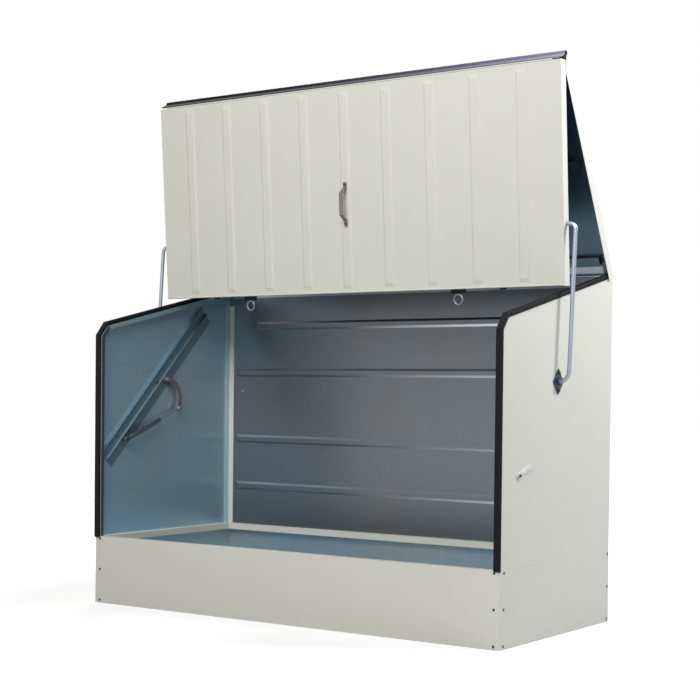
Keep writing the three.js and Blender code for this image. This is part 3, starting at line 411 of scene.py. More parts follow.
def grained(name, colour, metal, roughness, size, height, spread=0.12, sheen=0.5):
    material, tree, surface = bare_material(name, metal=metal)
    surface["Specular IOR Level"].default_value = sheen
    toned = effect(tree, cloud_effect, {"Colour": colour, "Cloud Size": 0.04, "Depth": 0.25})["Colour"]
    grain = effect(tree, grain_effect, {"Grain Size": size})
    tree.links.new(toned, surface["Base Color"])
    tree.links.new(maths(tree, "MULTIPLY_ADD", grain["Mask"], spread, roughness), surface["Roughness"])
    tree.links.new(raise_surface(tree, grain["Height"], height), surface["Normal"])
    return material


def strip_skin(name, half_length):
    """Smooth black rubber, with a lilac grey painted reflection that grows towards its right end."""
    material, tree, surface = bare_material(name, roughness=STRIP_ROUGHNESS)
    surface["Specular IOR Level"].default_value = STRIP_SHEEN
    share = ranged(tree, along_axis(tree, own_place(tree)["Object"], "X"), -half_length, half_length)
    painted_reflection_share = maths(tree, "POWER", share, REFLECTION_GROWTH_POWER)
    skin = blend_of(tree, painted_reflection_share, STRIP_DARK, STRIP_PAINTED_REFLECTION, "RGBA")
    grain = effect(tree, grain_effect, {"Grain Size": 3 * MM})
    streaked = effect(tree, cloud_effect, {"Colour": skin, "Cloud Size": 0.05, "Depth": 0.5})["Colour"]
    tree.links.new(streaked, surface["Base Color"])
    tree.links.new(raise_surface(tree, grain["Height"], STRIP_RELIEF), surface["Normal"])
    return material


# %% Bare zinc, plate, dark steel, handle steel and rubber
# The braces get a darker copy of the zinc, which paints shade over their lit lips.
BRACE_SHADED_ZINC = (0.2, 0.31, 0.38, 1)
PLATE = (0.31, 0.35, 0.42, 1)
DARK_STEEL = (0.035, 0.05, 0.065, 1)
CRANK_STEEL = (0.22, 0.2, 0.19, 1)
TUBE_STEEL = (0.17, 0.2, 0.23, 1)
LOOP_STEEL = (0.15, 0.19, 0.23, 1)
HANDLE_STEEL = (0.2, 0.185, 0.185, 1)
RUBBER = (0.004, 0.0055, 0.006, 1)

finishes = {
    "cream_paint": painted_sheet("cream paint"),
    "galvanised_steel": zinc_sheet("bare zinc"),
    "zinc_plate": grained("zinc plate", PLATE, metal=0.65, roughness=0.24, size=2 * MM, height=0.02 * MM),
    "dark_steel": grained(
        "dark steel", DARK_STEEL, metal=0.6, roughness=0.36, size=1.5 * MM, height=0.05 * MM, sheen=0.25
    ),
    "handle_steel": grained(
        "handle steel", HANDLE_STEEL, metal=0.7, roughness=0.3, size=1 * MM, height=0.03 * MM
    ),
    "black_rubber": grained(
        "black rubber", RUBBER, metal=0.0, roughness=0.6, size=1.2 * MM, height=0.08 * MM, sheen=0.12
    ),
    "gloss_rubber": strip_skin("gloss rubber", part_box("weather_strip")[1].x),
}
crank_finish = grained(
    "worn crank steel", CRANK_STEEL, metal=0.5, roughness=0.34, size=1.5 * MM, height=0.05 * MM
)
tube_finish = grained(
    "drawn tube steel", TUBE_STEEL, metal=0.7, roughness=0.16, size=1 * MM, height=0.02 * MM, spread=0.05
)
loop_finish = grained(
    "dull loop steel", LOOP_STEEL, metal=0.65, roughness=0.34, size=2 * MM, height=0.03 * MM
)
shaded_brace_finish = zinc_sheet("darkened zinc of the braces", BRACE_SHADED_ZINC)
print("finishes:", ", ".join(finishes))

# %% [markdown]
# The frame's solids now get their finishes. Each node's slot in the record names one of them, and the sheets
# that are painted on one side only get a finish of their own, with the way that their inner face points.
# The door and the roof lean, so their inner faces point along their own tilt. The base's panels are folded
# back over the floor, and only their outermost web is bare.

# %% Which way each sheet is bare
BASE_ZINC = (0.45, 0.58, 0.66, 1)
# A near-black copy of the bare zinc paints the shade on the folded lips of the front posts.
FOLD_SHADED_ZINC = (0.1, 0.14, 0.17, 1)
# A darker copy of the bare zinc paints the shade on the inside of the rear wall.
REAR_SHADED_ZINC = (0.14, 0.163, 0.18, 1)
# A darker copy of the bare zinc paints the shade inside the door and under the roof.
ROOF_SHADED_ZINC = (0.075, 0.13, 0.17, 1)
DOOR_LEAN = math.radians(4.1)
ROOF_OPEN = math.radians(61.9)

RIGHTWARDS = (1, 0, 0)
LEFTWARDS = (-1, 0, 0)
FORWARDS = (0, -1, 0)
REARWARDS = (0, 1, 0)
FOLD_BACK = 15 * MM

right_wall_low, right_wall_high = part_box("right_wall")
wall_outside = right_wall_high.x
locker_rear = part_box("rear_wall")[1].y
side_web = FOLD_BACK - wall_outside
front_web = FOLD_BACK - locker_rear

sheets = {
    "left_wall": {"inward": RIGHTWARDS},
    "right_wall": {"inward": LEFTWARDS},
    "rear_wall": {"inward": FORWARDS, "bare": REAR_SHADED_ZINC, "rib_highlight": True},
    "base_left": {"bare": BASE_ZINC, "inward": RIGHTWARDS, "web_within": side_web},
    "base_right": {"bare": BASE_ZINC, "inward": LEFTWARDS, "web_within": side_web},
    "base_front": {"bare": BASE_ZINC, "inward": REARWARDS, "web_within": front_web},
    "base_rear": {"bare": BASE_ZINC, "inward": FORWARDS, "web_within": front_web},
    "left_front_post": {"inward": RIGHTWARDS, "bare": FOLD_SHADED_ZINC},
    "right_front_post": {"inward": LEFTWARDS, "bare": FOLD_SHADED_ZINC},
    "left_rear_post": {"inward": RIGHTWARDS},
    "right_rear_post": {"inward": LEFTWARDS},
    "left_top_rail": {"inward": RIGHTWARDS},
    "right_top_rail": {"inward": LEFTWARDS},
    "door_panel": {"inward": (0, math.cos(DOOR_LEAN), math.sin(DOOR_LEAN)), "bare": ROOF_SHADED_ZINC},
    "roof_panel": {"inward": (0, -math.sin(ROOF_OPEN), -math.cos(ROOF_OPEN)), "bare": ROOF_SHADED_ZINC},
    "roof_front_lip": {"inward": (0, math.cos(ROOF_OPEN), -math.sin(ROOF_OPEN)), "bare": ROOF_SHADED_ZINC},
}
print("sheets painted on one side:", len(sheets))

# %% Finish the frame's sheets, rails and brackets
PALE_PLATE = (0.6, 0.6, 0.57, 1)

# The roof's stiffeners use the same darkened zinc, a painted shade.
shaded_roof_zinc = zinc_sheet("shaded roof zinc", ROOF_SHADED_ZINC)
pale_plate = grained("pale plate", PALE_PLATE, metal=0.2, roughness=0.4, size=2 * MM, height=0.03 * MM)
own_finish = {
    "roof_front_stiffener": shaded_roof_zinc,
    "roof_rear_stiffener": shaded_roof_zinc,
    "left_arm_keeper": pale_plate,
    "right_arm_keeper": pale_plate,
}
slot_of = {part["node"]: part["material_slot"] for part in frame["record"]["subparts"]}
for node, thing in frame["nodes"].items():
    if node in sheets:
        finish = painted_sheet("sheet of " + node, **sheets[node])
    else:
        finish = own_finish.get(node, finishes[slot_of[node]])
    thing.data.materials.clear()
    thing.data.materials.append(finish)
print("nodes with a finish:", len(frame["nodes"]))

# %% [markdown]
# The pieces that follow are new meshes. Each starts as a bmesh, is built from operators, and ends in the same
# way: doubled corners merged, faces turned outwards, round faces shaded smooth up to a set angle, a finish,
# and the body that it rides on. One helper does all of that, so that no piece is left without a body.

# %% A helper that turns a bmesh into a piece
MERGE_WITHIN = 0.01 * MM
SMOOTH_UP_TO = math.radians(38)


def make_piece(shape, name, slot, body, stands_for=(), finish=None):
    bmesh.ops.remove_doubles(shape, verts=shape.verts, dist=MERGE_WITHIN)
    bmesh.ops.recalc_face_normals(shape, faces=shape.faces)
    mesh = bpy.data.meshes.new(name)
    shape.to_mesh(mesh)
    shape.free()
    mesh.shade_smooth()
    mesh.set_sharp_from_angle(angle=SMOOTH_UP_TO)
    mesh.materials.append(finish or finishes[slot])
    piece = bpy.data.objects.new(name, mesh)
    bpy.context.scene.collection.objects.link(piece)
    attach(piece, body)
    if stands_for:
        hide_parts(*stands_for)
    print(name, "has", len(mesh.polygons), "faces")
    return piece


# %% [markdown]
# Three shapes are enough for nearly all of the hardware. A round head is a disc drawn up and bevelled at its
# rim. A block is a cube with all its edges rounded. A bar is one section drawn along straight stretches and
# spun round each bend, as a real rod is bent round a former. Edges that were cut are broken by 1 mm, and
# pressed heads are rounder.

# %% Round heads and blocks
CUT_EDGE = 1 * MM
PRESSED_EDGE = 1.5 * MM


def drawn_after(shape, known):
    return [corner for corner in shape.verts if corner not in known]


def round_edges(shape, edges, radius, steps):
    bmesh.ops.bevel(
        shape, geom=edges, offset=radius, offset_type="OFFSET",
        affect="EDGES", segments=steps, profile=0.5, material=-1,
    )


def add_head(shape, place, radius, height, rounding, sides=16, steps=3):
    """A head that stands on the XY plane of its place, with its rim rounded."""
    known = set(shape.verts)
    ring = bmesh.ops.create_circle(shape, cap_ends=True, segments=sides, radius=radius)["verts"]
    drawn = bmesh.ops.extrude_face_region(shape, geom=list(ring[0].link_faces))["geom"]
    raised = [part for part in drawn if isinstance(part, bmesh.types.BMVert)]
    rim = [part for part in drawn if isinstance(part, bmesh.types.BMEdge)]
    bmesh.ops.translate(shape, verts=raised, vec=(0, 0, height))
    round_edges(shape, rim, rounding, steps)
    bmesh.ops.transform(shape, matrix=place, verts=drawn_after(shape, known))


def add_block(shape, place, size, rounding, steps=2):
    known = set(shape.verts)
    cube = bmesh.ops.create_cube(shape, size=1)["verts"]
    bmesh.ops.scale(shape, vec=size, verts=cube)
    edges = {edge for corner in cube for edge in corner.link_edges}
    round_edges(shape, list(edges), rounding, steps)
    bmesh.ops.transform(shape, matrix=place, verts=drawn_after(shape, known))


def facing(point, way):
    """A place at a point, whose Z looks the given way."""
    return Matrix.Translation(point) @ Vector(way).to_track_quat("Z", "Y").to_matrix().to_4x4()


# %% Bent bars
FLAT_TURN = math.radians(45)
HALF_SQUARE = math.sqrt(0.5)
NEARLY_ALONG = 0.9


def add_bar(shape, corners, bends, radius=None, section=None, wide=Vector((1, 0, 0)), sides=24, steps=10):
    """A bar through the corners. Each inner corner is bent on its own radius; a flat bar has a section."""
    corners = [Vector(corner) for corner in corners]
    ways = [(b - a).normalized() for a, b in zip(corners, corners[1:])]
    across = wide if abs(wide.dot(ways[0])) < NEARLY_ALONG else Vector(REARWARDS)
    start = Matrix((across, ways[0].cross(across), ways[0])).transposed().to_4x4()
    if section:
        ring = bmesh.ops.create_circle(shape, cap_ends=True, segments=4, radius=HALF_SQUARE)["verts"]
        bmesh.ops.rotate(shape, verts=ring, matrix=Matrix.Rotation(FLAT_TURN, 3, "Z"))
        bmesh.ops.scale(shape, vec=(section[0], section[1], 1), verts=ring)
    else:
        ring = bmesh.ops.create_circle(shape, cap_ends=True, segments=sides, radius=radius)["verts"]
    bmesh.ops.transform(shape, matrix=Matrix.Translation(corners[0]) @ start, verts=ring)
    end = list(ring[0].link_faces)
    at = corners[0]
    for corner, way, following, bend in zip(corners[1:-1], ways, ways[1:], bends):
        angle = way.angle(following)
        tangent = corner - way * bend * math.tan(angle / 2)
        end = draw_straight(shape, end, tangent - at)
        inward = (following - way * following.dot(way)).normalized()
        rim = [edge for face in end for edge in face.edges] + [vert for face in end for vert in face.verts]
        spun = bmesh.ops.spin(
            shape, geom=end + rim, cent=tangent + inward * bend,
            axis=way.cross(following).normalized(), angle=angle, steps=steps,
        )["geom_last"]
        end = [part for part in spun if isinstance(part, bmesh.types.BMFace)]
        at = corner + following * bend * math.tan(angle / 2)
    draw_straight(shape, end, corners[-1] - at)


def draw_straight(shape, faces, along):
    drawn = bmesh.ops.extrude_face_region(shape, geom=faces)["geom"]
    moved = [part for part in drawn if isinstance(part, bmesh.types.BMVert)]
    bmesh.ops.translate(shape, verts=moved, vec=along)
    return [part for part in drawn if isinstance(part, bmesh.types.BMFace)]


# %% [markdown]
# Black rubber seals sit on the front and top edges of the side walls. Each is one profile that follows the
# wall's edge: up the front, over the short slope at the shoulder, and back along the top. Its outline is
# drawn once, as the edge and the same edge moved outwards, then drawn across the wall's top and rounded.
# Pieces that touch are kept a third of a millimetre apart, so that no face flickers through another.

# %% Edge seals at their real height
FRONT_EDGE_TOP = 1130 * MM
SHOULDER_RUN = 36 * MM
SHOULDER_RISE = 44 * MM
SEAL_WIDTH = 27 * MM
SEAL_PROUD = 2 * MM
SEAL_FRONT = 10.5 * MM
SEAL_SHOULDER = 11 * MM
SEAL_TOP = 17 * MM
TOUCH_GAP = 0.3 * MM
SEAL_FOOT = -6 * MM
SEAL_TIP = 7 * MM
SEAL_ROUNDING = 4 * MM
HINGE_SETBACK = 22 * MM

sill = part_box("base_front")[1].z
hinge_y = locker_rear - HINGE_SETBACK
shoulder = Vector((right_wall_low.y + SHOULDER_RUN, FRONT_EDGE_TOP + SHOULDER_RISE))
rear_top = Vector((right_wall_high.y, right_wall_high.z))
seal_end = shoulder.lerp(rear_top, (hinge_y - shoulder.x) / (rear_top.x - shoulder.x))
wall_edge = [
    Vector((right_wall_low.y, sill + SEAL_FOOT)),
    Vector((right_wall_low.y, FRONT_EDGE_TOP)),
    shoulder,
    seal_end,
]


def edge_moved_out(edge, distances):
    """The edge line with each stretch moved outwards, and its corners where the moved stretches meet."""
    ways = [(b - a).normalized() for a, b in zip(edge, edge[1:])]
    outs = [Vector((-way.y, way.x)) for way in ways]
    moved = [edge[0] + outs[0] * distances[0]]
    for corner, before, after, near, far in zip(edge[1:], outs, outs[1:], distances, distances[1:]):
        turn = before.x * after.y - before.y * after.x
        first = before.dot(corner) + near
        second = after.dot(corner) + far
        meeting = Vector((first * after.y - second * before.y, second * before.x - first * after.x))
        moved.append(meeting / turn)
    return moved + [edge[-1] + outs[-1] * distances[-1]]


def make_seal(name, sign):
    outer = edge_moved_out(wall_edge, [SEAL_FRONT, SEAL_SHOULDER, SEAL_TOP])
    outer[0].y += SEAL_TIP
    inner = edge_moved_out(wall_edge, [TOUCH_GAP] * len(outer[1:]))
    shape = bmesh.new()
    outside = sign * (right_wall_high.x + SEAL_PROUD)
    ring = [shape.verts.new((outside, point.x, point.y)) for point in outer + inner[::-1]]
    outline = shape.faces.new(ring)
    draw_straight(shape, [outline], Vector((-sign * SEAL_WIDTH, 0, 0)))
    outer_edges = [
        edge for edge in shape.edges
        if abs(edge.verts[0].co.x - edge.verts[1].co.x) < MERGE_WITHIN
        and all(min((corner.co.yz - point).length for point in outer) < MERGE_WITHIN for corner in edge.verts)
    ]
    round_edges(shape, outer_edges, SEAL_ROUNDING, steps=4)
    make_piece(shape, name + "_edge_rubber", "black_rubber", "shell", (name + "_seal",))


for name, sign in (("left", -1), ("right", 1)):
    make_seal(name, sign)
print("seals stand", round(SEAL_TOP / MM), "mm above the walls")

# %% [markdown]
# The door hangs from its hinge rod and leans by a few degrees. All of its fittings are placed in the door's
# own frame, with the hinge axis as the origin, the outside along minus Y, and the door below, so a handle's
# height is simply how far down the door it is.

# %% The door's own frame, and its edge rivets
RIVET_RADIUS = 3.4 * MM
RIVET_HEIGHT = 1.4 * MM
RIVET_ROUNDING = RIVET_HEIGHT * 0.6
RIVET_DOWN = 12.5 * MM
DOOR_FACE = -4 * MM
DOOR_FOOT = -841.5 * MM
DOOR_RIBS = 9
DOOR_RIB_PITCH = 205 * MM

hinge_low, hinge_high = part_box("door_hinge_rod")
hinge_middle = (hinge_low + hinge_high) / 2
door_place = Matrix.Translation((0, hinge_middle.y, hinge_middle.z)) @ Matrix.Rotation(DOOR_LEAN, 4, "X")

rivets = bmesh.new()
for gap in range(-DOOR_RIBS // 2, DOOR_RIBS // 2 + 2):
    x = (gap - 0.5) * DOOR_RIB_PITCH
    for z in (-RIVET_DOWN, DOOR_FOOT + RIVET_DOWN):
        if abs(x) < hinge_high.x:
            add_head(
                rivets, door_place @ facing((x, DOOR_FACE, z), FORWARDS),
                RIVET_RADIUS, RIVET_HEIGHT, RIVET_ROUNDING, sides=10, steps=2,
            )
make_piece(rivets, "door_rivets", "cream_paint", "door")

# %% [markdown]
# The foot of the door is folded over to a round hem, so that nobody meets a raw edge. It catches the light as
# a fine pale line below the ribs. It is a straight bar with rounded ends.

# %% Hem along the door's foot
HEM_RADIUS = 3.5 * MM
HEM_HALF = 985 * MM
HEM_Y = -6 * MM

hem = bmesh.new()
hem_start = door_place @ facing((-HEM_HALF, HEM_Y, DOOR_FOOT + HEM_RADIUS), RIGHTWARDS)
add_head(hem, hem_start, HEM_RADIUS, 2 * HEM_HALF, CUT_EDGE, sides=16, steps=2)
make_piece(hem, "door_foot_hem", "cream_paint", "door")

# %% [markdown]
# The handle is a flat steel strap bent to a bow, with a foot at each end that is held by one screw. It is
# made as the strap is made: straight, bend, straight. Spinning the end face round each bend keeps the strap
# at one thickness, which a curve with a bevel would pinch.

# %% Bow handle and its screws
HANDLE_X = 2 * MM
HANDLE_SCREWS = (400 * MM, 559 * MM)
RIB_RISE = 4 * MM
STRAP = (16 * MM, 5 * MM)
STRAP_BEND = 9 * MM
STRAP_ROUNDING = 1.4 * MM
STRAP_CORNER = math.radians(60)
HANDLE_STANDOFF = 33 * MM
FOOT_LENGTH = 11 * MM
GRIP_FROM_SCREW = 36 * MM
SCREW_RADIUS = 6 * MM
SCREW_HEIGHT = 4 * MM
SCREW_ROUNDING = 2 * MM
HEX_REACH = 2.6 * MM
HEX_DEPTH = 0.4 * MM
HEX_ROUNDING = 0.1 * MM

rib_crown = DOOR_FACE - RIB_RISE
foot_y = rib_crown - STRAP[1] / 2 - TOUCH_GAP
grip_y = foot_y - HANDLE_STANDOFF
upper, lower = HANDLE_SCREWS
bow = [
    (HANDLE_X, foot_y, FOOT_LENGTH - upper),
    (HANDLE_X, foot_y, -upper - FOOT_LENGTH),
    (HANDLE_X, grip_y, -upper - GRIP_FROM_SCREW),
    (HANDLE_X, grip_y, -lower + GRIP_FROM_SCREW),
    (HANDLE_X, foot_y, -lower + FOOT_LENGTH),
    (HANDLE_X, foot_y, -lower - FOOT_LENGTH),
]
handle = bmesh.new()
add_bar(handle, bow, [STRAP_BEND] * 4, section=STRAP, steps=6)
long_edges = [edge for edge in handle.edges if edge.calc_face_angle(0) > STRAP_CORNER]
round_edges(handle, long_edges, STRAP_ROUNDING, steps=2)
bmesh.ops.transform(handle, matrix=door_place, verts=handle.verts)
make_piece(handle, "bow_handle", "handle_steel", "door", ("door_handle",))

screws = bmesh.new()
screw_seat = foot_y - STRAP[1] / 2
for down in HANDLE_SCREWS:
    place = door_place @ facing((HANDLE_X, screw_seat, -down), FORWARDS)
    add_head(screws, place, SCREW_RADIUS, SCREW_HEIGHT, SCREW_ROUNDING, sides=20)
    on_screw = place @ Matrix.Translation((0, 0, SCREW_HEIGHT))
    add_head(screws, on_screw, HEX_REACH, HEX_DEPTH, HEX_ROUNDING, sides=6, steps=1)
make_piece(screws, "handle_screws", "dark_steel", "door", ("handle_upper_screw", "handle_lower_screw"))

# %% [markdown]
# Below the door hang two oval loops, by which it is locked to the base. A loop is round bar: a small circle
# spun all the way round, then drawn out a little to an oval. Each has a black pad above it, and a flat rubber
# buffer stands further out, so that the door lands softly.

# %% Lock loops, pads and buffers
LOOP_X = 520 * MM
LOOP_WIDTH = 46 * MM
LOOP_HEIGHT = 48 * MM
LOOP_WIRE = 4 * MM
LOOP_Y = 2 * MM
PAD_SIZE = (64 * MM, 8 * MM, 16 * MM)
PAD_Y = 1.5 * MM
PAD_ROUNDING = 2 * MM
BUFFER_X = 715 * MM
BUFFER_RADIUS = 13 * MM
BUFFER_HEIGHT = 6.9 * MM
BUFFER_ROUNDING = 2.5 * MM
BUFFER_Y = 11.3 * MM
DOWNWARDS = (0, 0, -1)

pad_z = DOOR_FOOT - TOUCH_GAP - PAD_SIZE[2] / 2
loop_z = DOOR_FOOT - TOUCH_GAP - PAD_SIZE[2] - TOUCH_GAP - LOOP_HEIGHT / 2
for name, sign in (("left", -1), ("right", 1)):
    loop = bmesh.new()
    wire = bmesh.ops.create_circle(loop, segments=14, radius=LOOP_WIRE)["verts"]
    bmesh.ops.translate(loop, verts=wire, vec=(LOOP_WIDTH / 2 - LOOP_WIRE, 0, 0))
    bmesh.ops.spin(
        loop, geom=list(loop.edges) + list(loop.verts), cent=(0, 0, 0), axis=(0, 1, 0),
        angle=math.tau, steps=36, use_merge=True,
    )
    bmesh.ops.scale(loop, vec=(1, 1, LOOP_HEIGHT / LOOP_WIDTH), verts=loop.verts)
    loop_place = door_place @ Matrix.Translation((sign * LOOP_X, LOOP_Y, loop_z))
    bmesh.ops.transform(loop, matrix=loop_place, verts=loop.verts)
    make_piece(loop, name + "_oval_loop", "zinc_plate", "door", (name + "_lock_loop",), loop_finish)

    pad = bmesh.new()
    add_block(pad, door_place @ Matrix.Translation((sign * LOOP_X, PAD_Y, pad_z)), PAD_SIZE, PAD_ROUNDING)
    make_piece(pad, name + "_soft_pad", "black_rubber", "door", (name + "_loop_pad",))

    buffer = bmesh.new()
    buffer_place = door_place @ facing((sign * BUFFER_X, BUFFER_Y, DOOR_FOOT - TOUCH_GAP), DOWNWARDS)
    add_head(buffer, buffer_place, BUFFER_RADIUS, BUFFER_HEIGHT, BUFFER_ROUNDING, sides=24)
    make_piece(buffer, name + "_rubber_buffer", "black_rubber", "door", (name + "_buffer",))

# %% [markdown]
# A lift arm is one 16 mm rod. Its lower end comes out of the wall as the axle, turns up along the wall, and
# at the top turns back in to hold the door. A round section spun round the two bends gives an even rod, and
# it is set up in the arm's own frame, which leans from the axle to the pin in the door's edge.

# %% Lift arms
ARM_RADIUS = 8 * MM
ARM_STANDOFF = 45 * MM
ARM_TIP = 2 * MM
LOWER_BEND = 36 * MM
UPPER_BEND = 24 * MM
PIN_Y = 21 * MM
PIN_DOWN = 610 * MM

bush_low, bush_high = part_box("right_axle_bush")
axle = (bush_low + bush_high) / 2
crank_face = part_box("right_crank")[0].x
pin = door_place @ Vector((0, PIN_Y, -PIN_DOWN))
arm_length = math.hypot(pin.y - axle.y, pin.z - axle.z)
arm_lean = math.atan2(axle.y - pin.y, pin.z - axle.z)
arm_place = Matrix.Translation((0, axle.y, axle.z)) @ Matrix.Rotation(arm_lean, 4, "X")

for name, sign in (("left", -1), ("right", 1)):
    arm = bmesh.new()
    arm_out = sign * (wall_outside + ARM_STANDOFF)
    corners = [
        (sign * crank_face, 0, 0),
        (arm_out, 0, 0),
        (arm_out, 0, arm_length),
        (sign * (wall_outside + ARM_TIP), 0, arm_length),
    ]
    bends = [LOWER_BEND, UPPER_BEND]
    add_bar(arm, corners, bends, radius=ARM_RADIUS, wide=Vector(REARWARDS), sides=28, steps=14)
    bmesh.ops.transform(arm, matrix=arm_place, verts=arm.verts)
    make_piece(arm, name + "_bent_arm", "zinc_plate", name + "_arm", (name + "_lift_arm",))
print("arm length", round(arm_length / MM, 1), "mm, lean", round(math.degrees(arm_lean), 2), "degrees")

# %% [markdown]
# Inside each wall a curved link joins the axle to the top of the spring strut. It is flat bar that bows to
# the rear. It is made like the handle, from a flat section and one wide bend, with a boss at each end.

# %% Curved cranks and axle nuts
CRANK_RUN = 75 * MM
CRANK_DROP = 129.9 * MM
CRANK_CORNER = (134.4 * MM, -9 * MM)
CRANK_BEND = 88 * MM
CRANK_BAR = (6 * MM, 22 * MM)
BOSS_RADIUS = 13 * MM
NUT_RADIUS = 11 * MM
NUT_HEIGHT = 6 * MM

for name, sign in (("left", -1), ("right", 1)):
    crank = bmesh.new()
    middle = sign * (crank_face + CRANK_BAR[0] / 2)
    route = [
        (middle, axle.y, axle.z),
        (middle, axle.y + CRANK_CORNER[0], axle.z + CRANK_CORNER[1]),
        (middle, axle.y + CRANK_RUN, axle.z - CRANK_DROP),
    ]
    add_bar(crank, route, [CRANK_BEND], section=CRANK_BAR, steps=18)
    for y, z in ((axle.y, axle.z), (axle.y + CRANK_RUN, axle.z - CRANK_DROP)):
        seat = (sign * crank_face, y, z)
        add_head(crank, facing(seat, (sign, 0, 0)), BOSS_RADIUS, CRANK_BAR[0], CUT_EDGE, sides=28, steps=2)
    make_piece(crank, name + "_curved_crank", "dark_steel", name + "_arm", (name + "_crank",), crank_finish)

    nut = bmesh.new()
    nut_place = facing((sign * crank_face, axle.y, axle.z), (-sign, 0, 0))
    add_head(nut, nut_place, NUT_RADIUS, NUT_HEIGHT, CUT_EDGE, sides=6, steps=1)
    make_piece(nut, name + "_axle_nut", "zinc_plate", name + "_arm")

# %% [markdown]
# A brace runs up each wall under the axle. It is one strip of sheet: a flat flange for the axle, a doubled
# lip, and a second lip, with an open channel between the two. A line of corners is drawn out to a sheet, its
# folds are bevelled to the radius that a press leaves, and only then does the sheet get its thickness, so
# the folds stay as thick as the rest. Lit from above, one lip shows dark and the other bright. Each corner
# of the line is given as its distance from the wall and its height on the strip, in millimetres.

# %% Folded braces
BRACE_ANGLE = math.radians(45.1)
BRACE_BELOW = 505 * MM
BRACE_ABOVE = 409 * MM
BRACE_FOLDS = ((1, -32), (1, 14.2), (12, 14.2), (12, 18), (1, 18), (1, 60), (12, 60))
BRACE_FOLD_RADIUS = 1.5 * MM
BRACE_SHEET = 1.2 * MM
SHEET = 1.5 * MM

for name, sign in (("left", -1), ("right", 1)):
    brace = bmesh.new()
    seat = wall_outside - SHEET - TOUCH_GAP
    corners = [
        brace.verts.new((sign * (seat - stand * MM), -BRACE_BELOW, rise * MM)) for stand, rise in BRACE_FOLDS
    ]
    line = [brace.edges.new(pair) for pair in zip(corners, corners[1:])]
    drawn = bmesh.ops.extrude_edge_only(brace, edges=line)["geom"]
    far = [part for part in drawn if isinstance(part, bmesh.types.BMVert)]
    bmesh.ops.translate(brace, verts=far, vec=(0, BRACE_BELOW + BRACE_ABOVE, 0))
    folds = [edge for edge in brace.edges if len(edge.link_faces) == 2]
    round_edges(brace, folds, BRACE_FOLD_RADIUS, steps=3)
    bmesh.ops.recalc_face_normals(brace, faces=brace.faces)
    bmesh.ops.solidify(brace, geom=brace.faces[:], thickness=BRACE_SHEET)
    brace_place = Matrix.Translation((0, axle.y, axle.z)) @ Matrix.Rotation(BRACE_ANGLE, 4, "X")
    bmesh.ops.transform(brace, matrix=brace_place, verts=brace.verts)
    make_piece(brace, name + "_folded_brace", "galvanised_steel", "shell", (name + "_brace",), shaded_brace_finish)

# %% [markdown]
# The spring strut helps to lift the lid. Its tube turns on a stud low on the wall, and its rod ends in an
# eye on the crank. Both are round and smooth, and each rides on its own body, as the rod slides in the tube.

# %% Spring struts
STRUT_X = 951.2 * MM
TUBE_RADIUS = 11 * MM
TUBE_START = 10.5 * MM
TUBE_LENGTH = 216 * MM
TUBE_ROUNDING = 3 * MM
EYE_THICK = 11 * MM
NECK = (11 * MM, 14 * MM, 12 * MM)
ROD_RADIUS = 5 * MM
ROD_START = 60 * MM

stud_low, stud_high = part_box("left_spring_anchor")
stud = (stud_low + stud_high) / 2
crank_end = Vector((0, axle.y + CRANK_RUN, axle.z - CRANK_DROP))
for name, sign in (("left", -1), ("right", 1)):
    foot = Vector((sign * STRUT_X, stud.y, stud.z))
    head = Vector((sign * STRUT_X, crank_end.y, crank_end.z))
    strut_place = facing(foot, head - foot)
    outer_face = Vector((sign * EYE_THICK / 2, 0, 0))
    inwards = (-sign, 0, 0)

    tube = bmesh.new()
    tube_start = strut_place @ Matrix.Translation((0, 0, TUBE_START))
    add_head(tube, tube_start, TUBE_RADIUS, TUBE_LENGTH, TUBE_ROUNDING, sides=28)
    add_head(tube, facing(foot + outer_face, inwards), TUBE_RADIUS, EYE_THICK, CUT_EDGE, sides=28, steps=2)
    add_block(tube, tube_start, NECK, CUT_EDGE)
    tube_body = name + "_spring_tube"
    make_piece(tube, name + "_strut_tube", "dark_steel", tube_body, (tube_body,), tube_finish)

    rod = bmesh.new()
    rod_length = (head - foot).length - ROD_START
    rod_start = strut_place @ Matrix.Translation((0, 0, ROD_START))
    add_head(rod, rod_start, ROD_RADIUS, rod_length, CUT_EDGE, sides=20, steps=2)
    add_head(rod, facing(head + outer_face, inwards), TUBE_RADIUS, EYE_THICK, CUT_EDGE, sides=28, steps=2)
    make_piece(rod, name + "_strut_rod", "zinc_plate", name + "_spring_rod", (name + "_spring_rod",))

# %% [markdown]
# Small fixings are what make a folded steel box believable: pan head screws down the corners of the base, two
# bolts through each diamond bracket, a hex head on each strap and brace, and a few bright rivets on the inner
# walls. They are gathered into one mesh for each kind, because they never move apart.

# %% Screws of the base
SCREW_HEAD = 5 * MM
SCREW_STANDS = 2.2 * MM
FRONT_SCREW_X = 955 * MM
SIDE_SCREW_Y = (-414 * MM, 428 * MM)
SCREW_HEIGHTS = (13 * MM, 143 * MM, 272 * MM)

base_screws = bmesh.new()
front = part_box("base_front")[0].y
for sign in (-1, 1):
    x = sign * FRONT_SCREW_X
    for z in SCREW_HEIGHTS:
        seats = [facing((x, front, z), FORWARDS), facing((x, locker_rear, z), REARWARDS)]
        seats += [facing((sign * wall_outside, y, z), (sign, 0, 0)) for y in SIDE_SCREW_Y]
        for seat in seats:
            add_head(base_screws, seat, SCREW_HEAD, SCREW_STANDS, PRESSED_EDGE, sides=12, steps=2)
make_piece(base_screws, "base_screws", "dark_steel", "shell")

